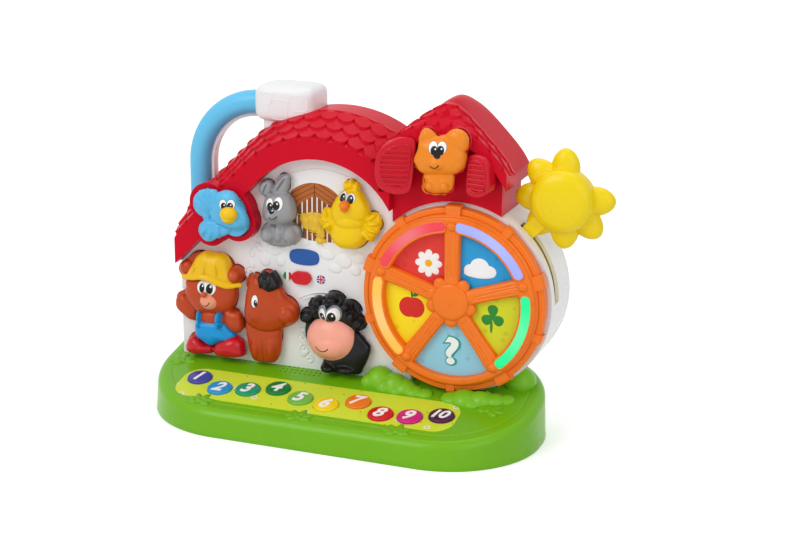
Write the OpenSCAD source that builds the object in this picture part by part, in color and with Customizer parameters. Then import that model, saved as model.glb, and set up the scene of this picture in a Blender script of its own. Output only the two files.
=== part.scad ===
// Talking farm playset: a grass base with number keys, a farmhouse with animal buttons,
// a lit mill wheel and a sun lever that swings down round the mill drum.
// The bottom of the base is z = 0, the front faces -Y, and the origin is under the middle of its depth.

/* [Base] */
// Left end of the base
base_left = -165; // [-172:1:-160]
// Right end of the base
base_right = 177; // [172:1:184]
// Depth of the base
base_d = 160; // [156:1:180]
// Radius of the front left corner seen from above
front_left_r = 84; // [70:1:86]
// Radius of the front right corner seen from above
front_right_r = 80; // [66:1:82]
// Radius of the rear right corner seen from above
rear_right_r = 72; // [50:1:74]
// Radius of the rear left corner seen from above
rear_left_r = 30; // [15:1:40]
// Height of the grass deck at its front edge
deck_front_h = 22; // [20:0.5:28]
// Slope of the grass deck, rising to the back, in degrees
deck_tilt = 10.5; // [8:0.5:13]
// Wall of the base tub
tub_wall = 2.6; // [2:0.1:3.2]
// Thickness of the bottom plate
plate_t = 2.6; // [2:0.1:3.5]

/* [Number keys] */
// Width of the printed key panel
panel_w = 248; // [246:1:256]
// Depth of the key panel along the deck
panel_d = 46; // [44:1:47]
// Thickness of the key panel
panel_t = 1.4; // [1.2:0.1:2]
// How deep the panel sits in the deck
panel_sink = 1; // [0.5:0.1:1.2]
// Corner radius of the key panel
panel_corner_r = 17; // [8:1:20]
// Middle of the key panel across the base
panel_x = -6; // [-8:1:-4]
// Front edge of the panel from the front edge of the deck
panel_from_front = 20; // [18:1:22]
// Radius of a number key
key_r = 10.6; // [9.5:0.1:10.9]
// Spacing of the keys across the base
key_pitch = 24.4; // [23.6:0.1:24.8]
// Height of a key above the deck
key_rise = 3.2; // [2.8:0.1:4]
// Height of the crown on a key
key_crown = 1.2; // [0.6:0.1:1.6]
// Press travel of a key
key_travel = 1.6; // [1:0.1:2]

/* [House] */
// Left wall of the house
house_left = -150; // [-154:1:-148]
// Front face of the house
house_front_y = 8; // [6:0.5:10]
// Joint line between the front and back shells of the house
house_seam_y = 38; // [36:0.5:40]
// Back face of the house
house_back_y = 66; // [64:0.5:70]
// Wall of the house shells
house_wall = 3; // [2.4:0.1:3.4]
// Radius of the arched gable
arch_r = 73; // [72:0.5:76]
// Middle of the arched gable across the base
arch_x = -18; // [-20:0.5:-16]
// Height of the middle of the arched gable
arch_z = 151; // [149:0.5:153]
// Slope of the long left roof in degrees
tail_slope = 45; // [43:0.5:46]

/* [Main roof] */
// Height of the red band over the gable at the front
fascia_h = 16; // [12:0.5:18]
// Rise of the roof from the front band to its back half
roof_rise = 18; // [14:0.5:20]
// Overhang of the roof in front of the house
roof_overhang = 12; // [10:0.5:14]
// Joint line between the front and back halves of the roof
roof_seam_y = 36; // [32:0.5:38]
// Red margin round the bird
bird_margin = 5; // [4:0.5:6]

/* [Chimney and handle] */
// Middle of the chimney across the base
chimney_x = -63; // [-66:1:-60]
// Width of the chimney cap
cap_w = 56; // [52:1:60]
// Depth of the chimney cap
cap_d = 42; // [38:1:44]
// Height of the chimney cap
cap_h = 32; // [28:0.5:34]
// Top of the chimney
chimney_top = 276; // [272:1:280]
// How much narrower the stack is than the cap, on each side
stack_inset = 6; // [4:0.5:8]
// Radius of the carrying handle's tube
handle_r = 10; // [8:0.5:10.5]
// Radius of the handle's bend, at the middle of the tube
handle_bend_r = 56; // [50:0.5:60]
// Middle of the chimney and the handle from front to back
handle_y = 50; // [48:0.5:52]

/* [Animal buttons] */
// Clearance round an animal in its opening
button_gap = 0.5; // [0.4:0.05:0.6]
// Press travel of an animal
button_travel = 2; // [1.5:0.1:2.4]
// Width of the lip that keeps an animal in its opening
lip_w = 1.6; // [1.2:0.1:2]
// Thickness of that lip
lip_t = 1.5; // [1.2:0.1:2]

/* [Mill wheel] */
// Middle of the wheel across the base
wheel_x = 101; // [99:0.5:103]
// Height of the middle of the wheel
wheel_z = 118; // [116:0.5:122]
// Outer radius of the wheel frame
wheel_r = 77; // [75:0.5:78]
// Outer radius of the drum behind the wheel
drum_r = 80; // [79:0.5:82]
// Front face of the drum
drum_front_y = 6; // [5:0.5:7]
// Back end of the drum
drum_back_y = 58; // [56:0.5:60]
// Wall of the drum
drum_wall = 3; // [2.4:0.1:3.2]
// Thickness of the wheel frame
frame_t = 4.5; // [4:0.1:5]
// Width of a spoke
spoke_w = 13; // [10:0.5:15]
// Radius of the wheel's hub
hub_r = 18; // [15:0.5:20]
// Width of the wheel outside the light windows
rim_w = 11; // [10:0.5:12]
// Width of a light window
light_w = 8; // [7:0.5:9]
// Width of the ring between the light windows and the pictures
ring_w = 3; // [2.5:0.5:6]

/* [Sun lever] */
// Middle of the sun from the middle of the wheel
sun_reach = 119.5; // [117:0.5:124]
// Radius of the sun's disc
sun_r = 27; // [24:0.5:28]
// Half the width of a sun ray at its foot
ray_r = 10; // [9:0.5:11]
// Radius of a sun ray's round tip
ray_tip_r = 6; // [5:0.5:7]
// Length of a sun ray beyond the disc
ray_len = 13; // [11:0.5:15]
// Thickness of the sun
sun_t = 22; // [18:0.5:24]
// Middle of the lever from front to back
lever_y = 21; // [20.5:0.5:22]
// Thickness of the lever's arm
arm_t = 10; // [8:0.5:10.5]
// Width of the lever's arm
arm_w = 12; // [10:0.5:13]
// Angle of the lever at rest above the level, in degrees
lever_rest = 46; // [44:1:48]
// Swing of the lever downwards, in degrees
lever_swing = 40; // [30:1:42]
// Radius of the lever's pivot pin
pin_r = 3; // [2.5:0.1:4]

/* [Side house] */
// Middle of the side house's ridge across the base
ridge_x = 90; // [88:0.5:92]
// Height of the middle of the ridge's round
ridge_z = 266; // [264:0.5:268]
// Radius of the ridge's round
ridge_r = 12; // [10:0.5:14]
// Thickness of the side roof
side_roof_t = 7; // [5:0.5:8]
// Length of each slope of the side roof
side_slope_len = 66; // [62:0.5:70]
// Slope of the left side of the side roof in degrees
side_slope_left = 40; // [38:0.5:42]
// Slope of the right side of the side roof in degrees
side_slope_right = 46; // [44:0.5:48]
// Left wall of the side house
side_left = 46; // [45:0.5:48]
// Right wall of the side house
side_right = 138; // [134:0.5:140]
// Front wall of the side house
side_front_y = 4; // [3:0.5:5]
// Overhang of the side roof in front of that wall
side_overhang = 13; // [10:0.5:15]

/* [Hidden] */
$fn = 64;
gap = 0.3;
fine_gap = 0.05;
far = 400;
plate_gap = 0.3;
spring_gap = 0.2;
rest_gap = 0.15;

// Corners of the base: x, y and radius, from the front left one round to the rear left one
base_corners = [[base_left + front_left_r, front_left_r - base_d / 2, front_left_r],
    [base_right - front_right_r, front_right_r - base_d / 2, front_right_r],
    [base_right - rear_right_r, base_d / 2 - rear_right_r, rear_right_r],
    [base_left + rear_left_r, base_d / 2 - rear_left_r, rear_left_r]];

// Key row: distance of each key from the front edge of the deck, along the deck
key_rows = [49.5, 37.5, 41.5, 49.5, 39.5, 35.5, 46.5, 33.5, 35.5, 43.5];
key_first_x = panel_x - key_pitch * (len(key_rows) - 1) / 2 + 1;
key_lip_w = 0.9;
key_lip_t = 1.2;
key_lip_top = -tub_wall - gap;
key_foot = key_lip_top - key_lip_t;
mat_t = 1;
board_t = 1.6;
key_mat_top = key_foot - key_travel - gap;
key_dome_r = 4;
key_board_top = key_mat_top - mat_t;
key_bed_front = 21;
key_bed_left = panel_x - panel_w / 2 + 3;
key_bed_right = panel_x + panel_w / 2 - 3;
key_post_r = 2.2;
key_post_back = 64;
key_mat_back = key_post_back - key_post_r - gap;
key_board_back = key_post_back + 2;
key_posts = [[key_bed_left + 3, 30], [key_bed_right - 3, 30], [-100, key_post_back], [10, key_post_back],
    [100, key_post_back]];

// Grass mounds before the wheel: x, distance up the deck, radius and height
mounds = [[44, 85, 18, 18], [66, 84, 13, 11], [86, 84, 12, 7], [104, 84, 12, 8],
    [123, 85, 17, 13], [141, 84, 10, 6]];
bank = [150, 112, 14, 14];

// Speaker under its grille, in deck coordinates
speaker_r = 16;
speaker_t = 13;
speaker_pos = [-35, 84];
grille_r = 0.8;
grille_pitch = 4.4;

// Battery box in the bottom plate
cell_r = 7.25;
cell_len = 50.5;
cell_pitch = 15.6;
cell_count = 3;
cell_room = 8;
battery_pos = [-75, base_d / 2 - 36];
battery_w = cell_pitch * cell_count + 1;
battery_d = cell_len + cell_room;
battery_wall = 2;
cell_z = plate_t + gap + cell_r;
battery_top = cell_z + cell_r + 0.5;
door_t = 2;
door_screw_y = battery_pos[1] - battery_d / 2 - 9;
door_tab_r = 5.5;
door_tab_t = 4.4;

// Screws
screw_r = 1.5;
screw_head_r = 3;
screw_head_h = 2;
screw_len = 14;
screw_gap = 0.3;
pilot_gap = 0.05;
head_sink = 0.3;
boss_r = 4.5;
pad_r = 6;
pad_h = 5;
base_screws = [[-118, -6], [118, -6], [-125, base_d / 2 - 24], [125, base_d / 2 - 24]];
house_screws = [[-142, 64], [-80, 137], [-10, 131], [-20, 212]];
screw_seat = 6;

// House and roof
arch = [arch_x, arch_z];
house_right = 62;
roof_front_y = house_front_y - roof_overhang;
roof_back_y = house_back_y + 8;
roof_front_r = arch_r + fascia_h;
roof_r = roof_front_r + roof_rise;
roof_round = 10;
roof_gap = 0.2;
tail_len = 220;
tail_drop = 0.15;
roof_turn = 200;
bracket_rise = 0.6;
tail_foot = 116;

// Handle: the bend starts level beside the chimney cap
handle_top_z = chimney_top - cap_h / 2 - 2.5;
handle_x = chimney_x - cap_w / 2 - 2;
handle_z = handle_top_z - handle_bend_r;
cap_corner_r = 9;
stack_corner_r = 6;

// Animal lobes: x, z, radius and height of the crown in front of the wall
bird_lobes = [[-90, 165, 12, 21], [-97, 173, 16, 23], [-117, 179, 12, 19], [-110, 171, 11, 19],
    [-115, 156, 9.5, 18], [-107, 161, 9, 18], [-100, 169, 7, 27]];
rabbit_lobes = [[-54, 158, 14, 11], [-55, 178, 15, 15], [-63, 155, 9.5, 12], [-45, 156.5, 9.5, 12],
    [-66, 194, 7.5, 8], [-61, 188, 7, 9], [-55, 191, 6.5, 9], [-52.5, 198, 6.5, 9], [-51, 203, 5, 8]];
chick_lobes = [[9, 165.5, 16.5, 13], [9, 185.5, 14, 15], [9, 175.5, 14, 13], [9, 201.5, 6.5, 9],
    [-12, 171.5, 6.5, 8], [-7, 167.5, 8, 9], [25, 171.5, 8, 9], [31, 172.5, 5.5, 8],
    [29, 178.5, 4.5, 7], [4, 184.5, 4.5, 19]];
bear_lobes = [[-117, 68, 17, 13], [-119, 98, 23, 16], [-129, 119, 14, 18], [-112, 119, 14, 18],
    [-143, 116, 8, 9], [-96, 116, 8, 9], [-124, 90, 11, 20], [-118, 59, 14, 13], [-147, 89, 7, 9],
    [-141, 83, 8, 10], [-134, 77, 8, 10], [-101, 77, 8, 10], [-96, 72, 6.5, 10], [-135, 49.5, 9, 14],
    [-126, 49, 8, 13], [-110, 49, 8.5, 14], [-101, 49.5, 9.5, 15]];
horse_lobes = [[-70, 66, 15.5, 11], [-70, 98, 17, 14], [-63, 93, 16, 15], [-51, 90, 12, 15],
    [-58, 85, 12, 15], [-67, 115, 8, 12], [-61.5, 110, 6, 12], [-78, 110, 9, 9], [-75, 86, 13.5, 13],
    [-70, 54, 13.5, 10]];
sheep_lobes = [[6.5, 60.5, 18, 10], [-9.5, 74, 23, 20], [-5.5, 100, 11, 14], [-20.5, 96, 9, 13],
    [8.5, 95, 10, 13], [-30.5, 87, 6.5, 9], [15.5, 86, 7, 9], [-6.5, 49, 8, 11], [0.5, 48, 8, 11],
    [10.5, 49, 8.5, 10]];
cat_lobes = [[83.5, 214, 11.5, 9], [84.5, 233, 17.5, 14], [71, 230, 8, 10], [99, 230, 8, 10],
    [74, 245, 6.5, 8], [72.5, 250, 4, 7], [97.5, 246, 8.5, 8], [102.5, 245, 5.5, 7], [77.5, 209, 6, 9],
    [90.5, 209, 6, 9]];
house_animals = [bird_lobes, rabbit_lobes, chick_lobes, bear_lobes, horse_lobes, sheep_lobes];
crown_ledge = 0.8;
crown_sink = 0.5;
animal_rim = 5;
bird_rim = 15;

// Button mat and board behind the house front
house_inner_y = house_front_y + house_wall;
button_foot_y = house_inner_y + gap + lip_t;
button_mat_y = button_foot_y + button_travel + gap;
button_board_y = button_mat_y + mat_t;
button_dome_r = 5;
shoulder_r = boss_r + 1.5;
board_foot = 54;
board_right = 30;
board_top = 219;
cat_posts = [[63, 212], [109.5, 212], [63, 240]];
cat_post_r = 2.2;
cat_inner_y = side_front_y + house_wall;
cat_foot_y = cat_inner_y + gap + lip_t;
cat_mat_y = cat_foot_y + button_travel + gap;
cat_board_y = cat_mat_y + mat_t;
cat_dome_z = cat_lobes[0][1] + 4;

// Language slide, flag roundels and hayloft panel on the house front
knob_pos = [-36, 119];
knob_l = 17.5;
knob_h = 11;
knob_rise = 3;
knob_stem_w = 4;
knob_slide = 3;
flag_r = 3.8;
flag_t = 0.6;
flag_x = [-49.5, -19];
loft_t = 1.2;
loft_left = -46;
loft_right = -3;
loft_foot = 152;
loft_top = 201.5;
loft_r = 30;

// Power slide on the back of the house
power_pos = [-105, 92];
power_w = 9;
power_h = 6;
power_stem_w = 4;
power_slide = 5;

// Wheel, lights and lever
wheel = [wheel_x, wheel_z];
frame_back_y = drum_front_y - 1.6;
frame_front_y = frame_back_y - frame_t;
light_out_r = wheel_r - rim_w;
light_in_r = light_out_r - light_w;
picture_r = light_in_r - ring_w;
rim_in_r = light_out_r + 2.5;
rim_rise = 3;
spoke_rise = 2;
hub_rise = 5;
knuckle_r = 5.2;
knuckle_rise = 5;
low_picture_r = picture_r + 7;
spoke_angles = [for (i = [0 : 4]) 90 + 72 * i];
light_angles = [126, 54, -18, 198];
light_half = 29;
light_room = 0.3;
lens_sink = 0.5;
lens_seat = 1;
light_middles = [-18, 0, 18];
slot_play = 0.5;
picture_t = 1;
mound_back_y = frame_front_y - knuckle_rise - 1;
led_board_y = drum_front_y + drum_wall + 1;
led_r = 2.5;
led_ring_r = (light_in_r + light_out_r) / 2;
led_board_in_r = 28;
led_board_out_r = drum_r - drum_wall - 6;
shield_r = drum_r - drum_wall - 1.2;
shield_t = 2.2;
web_w = 6;
shield_half = 48;
slot_half = arm_t / 2 + 1;
shield_half_y = slot_half + 2;
slot_margin = asin((arm_w / 2 + 1) / drum_r) + 1;
lever_hub_r = 9;
pin_gap = 0.05;
pin_boss_r = 6.2;
spring_wire_r = 1;
sun_ray_count = 7;
sun_dome_h = 4;
sun_split = 0.1;
sun_wall = 2.2;
arm_into_sun = 8;

// Side house
ridge = [ridge_x, ridge_z];
side_back_y = 57;
side_foot = 165;
shutter_t = 3;
shutter_open = 18;
shutter_foot = 203;
shutter_pitch = 3.6;
shutter_rim = 4;
rib_rise = 1;
shutter_left_x = 65;
shutter_left_w = 28;
shutter_left_h = 40;
shutter_right_x = 107;
shutter_right_w = 24;
shutter_right_h = 32;

// Places children in deck coordinates: x across, y up the slope from the front edge, z out of the deck
module on_deck() {
    translate([0, -base_d / 2, deck_front_h]) rotate([deck_tilt, 0, 0]) children();
}

// Everything below the plane that lies h above the deck
module below_deck(h) {
    on_deck() translate([-far, -far, h - far]) cube([2 * far, 3 * far, far]);
}

// Extrudes an outline drawn in x and z from depth y0 back to y1
module face_extrude(y0, y1) {
    translate([0, y1, 0]) rotate([90, 0, 0]) linear_extrude(y1 - y0) children();
}

// Rounded rectangle centred on the origin
module rounded_rect(w, d, r) {
    square([w - 2 * r, d], center = true);
    square([w, d - 2 * r], center = true);
    for (x = [-1, 1], y = [-1, 1]) translate([x * (w / 2 - r), y * (d / 2 - r)]) circle(r);
}

// Plan of the base, grown by g: a round corner at each end of the straight sides
module plan(g) {
    c = base_corners;
    polygon([[c[0][0], -base_d / 2 - g], [c[1][0], -base_d / 2 - g], [base_right + g, c[1][1]],
        [base_right + g, c[2][1]], [c[2][0], base_d / 2 + g], [c[3][0], base_d / 2 + g],
        [base_left - g, c[3][1]], [base_left - g, c[0][1]]]);
    for (p = [c[2], c[3]]) translate([p[0], p[1]]) circle(p[2] + g);
    for (p = [c[0], c[1]]) intersection() {
        translate([p[0], p[1]]) circle(p[2] + g);
        translate([-far, p[1] - 2 * far]) square([2 * far, 2 * far]);
    }
}

// Wedge of a circle between two angles
module wedge(a0, a1, r) {
    mid = (a0 + a1) / 2;
    polygon([[0, 0], r * [cos(a0), sin(a0)], r * [cos(mid), sin(mid)], r * [cos(a1), sin(a1)]]);
}

// Part of a ring between two radii and two angles
module ring_sector(r0, r1, a0, a1) {
    intersection() {
        difference() {
            circle(r1);
            circle(r0);
        }
        wedge(a0, a1, 2 * r1);
    }
}

// Deck position of a number key
function key_pos(i) = [key_first_x + key_pitch * i, key_rows[i]];

// Disc with a crowned top: radius r, rim height h, crown c
module crowned_disc(r, h, c) {
    big = (r * r + c * c) / (2 * c);
    cylinder(r = r, h = h);
    translate([0, 0, h]) rotate_extrude() intersection() {
        translate([0, c - big]) circle(big, $fn = 200);
        square([r, c]);
    }
}

// Green tub with the sloping deck, key openings, speaker grille, screw bosses and grass mounds
module base_tub() {
    color("yellowgreen") difference() {
        union() {
            difference() {
                intersection() {
                    linear_extrude(far) plan(0);
                    below_deck(0);
                }
                intersection() {
                    translate([0, 0, -1]) linear_extrude(far) plan(-tub_wall);
                    below_deck(-tub_wall);
                }
            }
            intersection() {
                union() {
                    for (p = base_screws) translate([p[0], p[1], pad_h]) cylinder(r = boss_r, h = far);
                    on_deck() for (p = key_posts) translate([p[0], p[1], key_board_top])
                        cylinder(r = key_post_r, h = -key_board_top);
                }
                below_deck(-tub_wall / 2);
            }
            difference() {
                on_deck() for (m = mounds) translate([m[0], m[1], 0]) crown(m[2], m[3]);
                translate([-far, mound_back_y, 0]) cube([2 * far, far, far]);
            }
            difference() {
                on_deck() translate([bank[0], bank[1], 0]) crown(bank[2], bank[3]);
                drum_room(2 * gap);
            }
        }
        on_deck() {
            panel_place() translate([0, 0, -panel_sink]) linear_extrude(far)
                rounded_rect(panel_w + 2 * gap, panel_d + 2 * gap, panel_corner_r + gap);
            key_holes();
            for (i = [-4 : 4], j = [-1 : 1])
                translate([speaker_pos[0], speaker_pos[1], -tub_wall * 2])
                    translate(grille_pitch * [i, j - 1, 0]) cylinder(r = grille_r, h = far);
        }
        for (p = base_screws) translate([p[0], p[1], 0])
            cylinder(r = screw_r + pilot_gap, h = screw_len + 1);
    }
}

// Moves children to the middle of the key panel on the deck
module panel_place() {
    translate([panel_x, panel_from_front + panel_d / 2, 0]) children();
}

// Bottom plate with the battery box and the pads for its screws
module base_plate() {
    box_w = battery_w + 2 * battery_wall;
    box_d = battery_d + 2 * battery_wall;
    color("olivedrab") difference() {
        union() {
            linear_extrude(plate_t) plan(-tub_wall - plate_gap);
            translate([battery_pos[0] - box_w / 2, battery_pos[1] - box_d / 2, 0])
                cube([box_w, box_d, battery_top + battery_wall]);
            translate([battery_pos[0], door_screw_y, 0])
                cylinder(r = door_tab_r + battery_wall, h = screw_len + 2);
            for (p = base_screws) translate([p[0], p[1], 0]) cylinder(r = pad_r, h = pad_h);
        }
        translate([battery_pos[0] - battery_w / 2, battery_pos[1] - battery_d / 2, -1])
            cube([battery_w, battery_d, battery_top + 1]);
        translate([0, 0, -1]) linear_extrude(door_t + 2 * rest_gap + 1) door_outline(gap);
        translate([battery_pos[0], door_screw_y, -1]) {
            cylinder(r = door_tab_r + gap, h = door_tab_t + 2 * rest_gap + 1);
            cylinder(r = screw_r + pilot_gap, h = screw_len + 2);
        }
        for (p = base_screws) translate([p[0], p[1], -1]) {
            cylinder(r = screw_r + screw_gap, h = far);
            cylinder(r = screw_head_r + screw_gap, h = screw_head_h + head_sink + 1);
        }
    }
}

// Outline of the battery door with the neck to its screw tab, grown by g
module door_outline(g) {
    translate(battery_pos) square([battery_w + 2 * g, battery_d - gap + 2 * g], center = true);
    translate([battery_pos[0] - door_tab_r - g, door_screw_y])
        square([2 * door_tab_r + 2 * g, door_tab_r * 2]);
    translate([battery_pos[0], door_screw_y]) circle(door_tab_r + g);
}

// Battery door, flush with the bottom plate
module battery_door() {
    color("olivedrab") difference() {
        translate([0, 0, rest_gap]) {
            linear_extrude(door_t) door_outline(0);
            translate([battery_pos[0], door_screw_y, 0]) cylinder(r = door_tab_r, h = door_tab_t);
        }
        translate([battery_pos[0], door_screw_y, -1]) {
            cylinder(r = screw_r + screw_gap, h = far);
            cylinder(r = screw_head_r + screw_gap, h = screw_head_h + head_sink + 1);
        }
    }
}

// Cells side by side
module batteries() {
    nub_r = 2.75;
    nub_h = 1;
    color("dimgray") for (i = [0 : cell_count - 1]) cell_place(i) translate([0, 0, -cell_len / 2]) {
        cylinder(r = cell_r, h = cell_len - nub_h);
        cylinder(r = nub_r, h = cell_len);
    }
}

// Moves children to the middle of cell i, with z along the cell
module cell_place(i) {
    translate([battery_pos[0] + (i - (cell_count - 1) / 2) * cell_pitch, battery_pos[1], cell_z])
        rotate([-90, 0, 0]) children();
}

// Contact plate and coil at both ends of each cell
module battery_contacts() {
    strip = 0.5;
    strip_w = 10;
    coil_h = (battery_d - cell_len) / 2 - strip - spring_gap;
    color("silver") for (i = [0 : cell_count - 1], s = [0, 180]) cell_place(i) rotate([s, 0, 0])
        translate([0, 0, -battery_d / 2]) {
            translate([-strip_w / 2, -strip_w / 2, 0]) cube([strip_w, strip_w, strip]);
            translate([0, 0, strip]) cylinder(r1 = 4, r2 = 2.6, h = coil_h);
        }
}

// One screw: head at the bottom, shank upwards
module screw() {
    cylinder(r = screw_head_r, h = screw_head_h);
    cylinder(r = screw_r, h = screw_len);
}

// Like screws of the base, the battery door and the house
module case_screws() {
    color("gainsboro") {
        for (p = concat(base_screws, [[battery_pos[0], door_screw_y]]))
            translate([p[0], p[1], head_sink]) screw();
        for (p = house_screws)
            translate([p[0], house_seam_y + gap + screw_seat + screw_head_h, p[1]])
                rotate([90, 0, 0]) screw();
    }
}

// Key panel with its ten openings
module keypad_panel() {
    color("greenyellow") on_deck() difference() {
        panel_place() translate([0, 0, -panel_sink]) linear_extrude(panel_t)
            rounded_rect(panel_w, panel_d, panel_corner_r);
        key_holes();
    }
}

// Openings of the ten keys, in deck coordinates
module key_holes() {
    for (i = [0 : len(key_rows) - 1]) translate([key_pos(i)[0], key_pos(i)[1], -far / 2])
        cylinder(r = key_r + gap, h = far);
}

// One number key with the lip that keeps it under the deck
module number_key(i, tint) {
    color(tint) on_deck() translate([key_pos(i)[0], key_pos(i)[1], key_foot]) {
        cylinder(r = key_r + key_lip_w, h = key_lip_t);
        crowned_disc(key_r, key_rise - key_crown - key_foot, key_crown);
    }
}

// Rubber sheet with one dome under each key
module key_mat() {
    color("lightgray") on_deck() {
        translate([key_bed_left + 2 * key_post_r + 2, key_bed_front, key_board_top])
            cube([key_bed_right - key_bed_left - 4 * key_post_r - 4, key_mat_back - key_bed_front, mat_t]);
        for (i = [0 : len(key_rows) - 1]) translate([key_pos(i)[0], key_pos(i)[1], key_board_top])
            cylinder(r1 = key_dome_r + 1, r2 = key_dome_r, h = key_foot - gap - key_board_top);
    }
}

// Circuit board under the key mat
module key_board() {
    color("seagreen") on_deck() translate([key_bed_left, key_bed_front, key_board_top - board_t])
        cube([key_bed_right - key_bed_left, key_board_back - key_bed_front, board_t]);
}

// Loudspeaker: rim, basket and magnet under the grille
module speaker() {
    rim_t = 2;
    magnet_r = 9;
    color("dimgray") on_deck() translate([speaker_pos[0], speaker_pos[1], -tub_wall - speaker_t]) {
        cylinder(r = magnet_r, h = speaker_t);
        translate([0, 0, speaker_t / 2])
            cylinder(r1 = magnet_r, r2 = speaker_r - 2, h = speaker_t / 2 - rim_t);
        translate([0, 0, speaker_t - rim_t]) cylinder(r = speaker_r, h = rim_t);
    }
}

// Outline of the house under its roof, grown by g
module house_outline(g) {
    intersection() {
        union() {
            translate(arch) circle(arch_r + g);
            translate(arch) rotate(tail_slope) translate([-far, -far])
                square([far, far + arch_r + g - tail_drop]);
            translate([arch_x, 0]) square([house_right + g - arch_x, arch_z]);
        }
        translate([house_left - g, 0]) square([house_right - house_left + 2 * g, far]);
    }
}

// Lobes of an animal as a flat outline, grown by g
module lobe_outline(lobes, g) {
    for (c = lobes) translate([c[0], c[1]]) circle(c[2] + g);
}

// Animal on a wall whose front is at wall_y and whose back is at inner_y:
// a flat rim of all its lobes, a crown on each lobe, and a lip behind the wall
module animal(lobes, wall_y, inner_y, rim) {
    foot_y = inner_y + gap + lip_t;
    face_extrude(wall_y - rim, foot_y) lobe_outline(lobes, 0);
    face_extrude(inner_y + gap, foot_y) lobe_outline([lobes[0], lobes[1]], lip_w);
    for (c = lobes) translate([c[0], wall_y - rim, c[1]])
        rotate([90, 0, 0]) crown(c[2] - crown_ledge, c[3] - rim);
}

// Cap of a ball: radius r where it leaves the rim, height c, sunk a little into the rim
module crown(r, c) {
    big = (r * r + c * c) / (2 * c);
    rotate_extrude() intersection() {
        translate([0, c - big]) circle(big, $fn = 128);
        translate([0, -crown_sink]) square([far, c + crown_sink]);
    }
}

// The solid drum with clearance g, used to make room for it
module drum_room(g) {
    translate([wheel_x, -far / 2, wheel_z]) rotate([-90, 0, 0]) cylinder(r = drum_r + g, h = far);
}

// Side view outline of the side house and its roof, grown by g
module side_outline(g) {
    side_slopes(-far / 8, g);
    polygon([[side_left - g, side_foot], [side_left - g, ridge_z - 40], [ridge_x, ridge_z],
        [side_right + g, ridge_z - 50], [side_right + g, side_foot]]);
}

// The two slopes and the round ridge of the side roof from depth low under the top, grown by g
module side_slopes(low, g) {
    translate(ridge) {
        circle(ridge_r + g);
        rotate(side_slope_left) translate([-side_slope_len - g, ridge_r + low])
            square([side_slope_len + g, g - low]);
        rotate(-side_slope_right) translate([0, ridge_r + low]) square([side_slope_len + g, g - low]);
    }
}

// Openings that the six house animals press through
module house_openings() {
    for (lobes = house_animals) face_extrude(-far, button_mat_y) lobe_outline(lobes, button_gap);
    bird_pocket();
}

// Room for the bird and its lip over its travel
module bird_pocket() {
    face_extrude(-far, button_mat_y) lobe_outline(bird_lobes, button_gap);
    face_extrude(house_inner_y, button_mat_y) lobe_outline([bird_lobes[0], bird_lobes[1]], lip_w + gap);
}

// Outline of the hayloft panel with its arched top, grown by g
module loft_outline(g) {
    intersection() {
        translate([(loft_left + loft_right) / 2, loft_top - loft_r]) circle(loft_r + g);
        translate([loft_left - g, loft_foot - g]) square([loft_right - loft_left + 2 * g, far]);
    }
}

// Stadium outline, l long and h high, grown by g
module stadium(l, h, g) {
    square([l - h, h + 2 * g], center = true);
    for (s = [-1, 1]) translate([s * (l - h) / 2, 0]) circle(h / 2 + g);
}

// White front shell of the house with its openings and screw posts
module house_front() {
    color("whitesmoke") difference() {
        union() {
            difference() {
                face_extrude(house_front_y, house_seam_y) house_outline(0);
                face_extrude(house_inner_y, far) house_outline(-house_wall);
                house_openings();
                face_extrude(-far, house_front_y + loft_t + fine_gap) loft_outline(fine_gap);
                face_extrude(-far, far) translate(knob_pos) translate([knob_slide / 2, 0])
                    stadium(knob_stem_w + knob_slide + 2 * gap, knob_stem_w, gap);
            }
            for (p = house_screws) {
                face_extrude(house_inner_y - 1, house_seam_y) translate(p) circle(boss_r);
                face_extrude(house_inner_y - 1, button_board_y) translate(p) circle(shoulder_r);
            }
        }
        for (p = house_screws)
            face_extrude(house_seam_y - screw_len, far) translate(p) circle(screw_r + pilot_gap);
        below_deck(0);
        drum_room(roof_gap);
        face_extrude(-far, far) side_outline(roof_gap);
    }
}

// White back shell of the house with the sleeves for its screws
module house_back() {
    start = house_seam_y + gap;
    color("whitesmoke") difference() {
        union() {
            difference() {
                face_extrude(start, house_back_y) house_outline(0);
                face_extrude(-far, house_back_y - house_wall) house_outline(-house_wall);
                face_extrude(-far, far) translate(power_pos) translate([power_slide / 2, 0])
                    stadium(power_stem_w + power_slide + 2 * gap, power_stem_w, gap);
            }
            for (p = house_screws) face_extrude(start, house_back_y - 1) translate(p) circle(boss_r + 1);
        }
        for (p = house_screws) {
            face_extrude(-far, far) translate(p) circle(screw_r + screw_gap);
            face_extrude(start + screw_seat, far) translate(p) circle(screw_head_r + screw_gap);
        }
        below_deck(0);
        drum_room(roof_gap);
        face_extrude(-far, far) side_outline(roof_gap);
    }
}

// Solid roof over the arch and the long left slope, for a profile of [depth y, radius] points
module roof_solid(profile) {
    first = profile[0][0];
    last = profile[len(profile) - 1][0];
    translate([arch_x, 0, arch_z]) {
        rotate([-90, 0, 0]) rotate([0, 0, -90 - tail_slope]) rotate_extrude(angle = roof_turn)
            polygon(concat([[0, first]], [for (p = profile) [p[1], p[0]]], [[0, last]]));
        rotate([0, -tail_slope, 0]) translate([-tail_len, 0, 0]) rotate([90, 0, 90]) linear_extrude(tail_len)
            polygon(concat([[first, 0]], profile, [[last, 0]]));
    }
}

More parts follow.
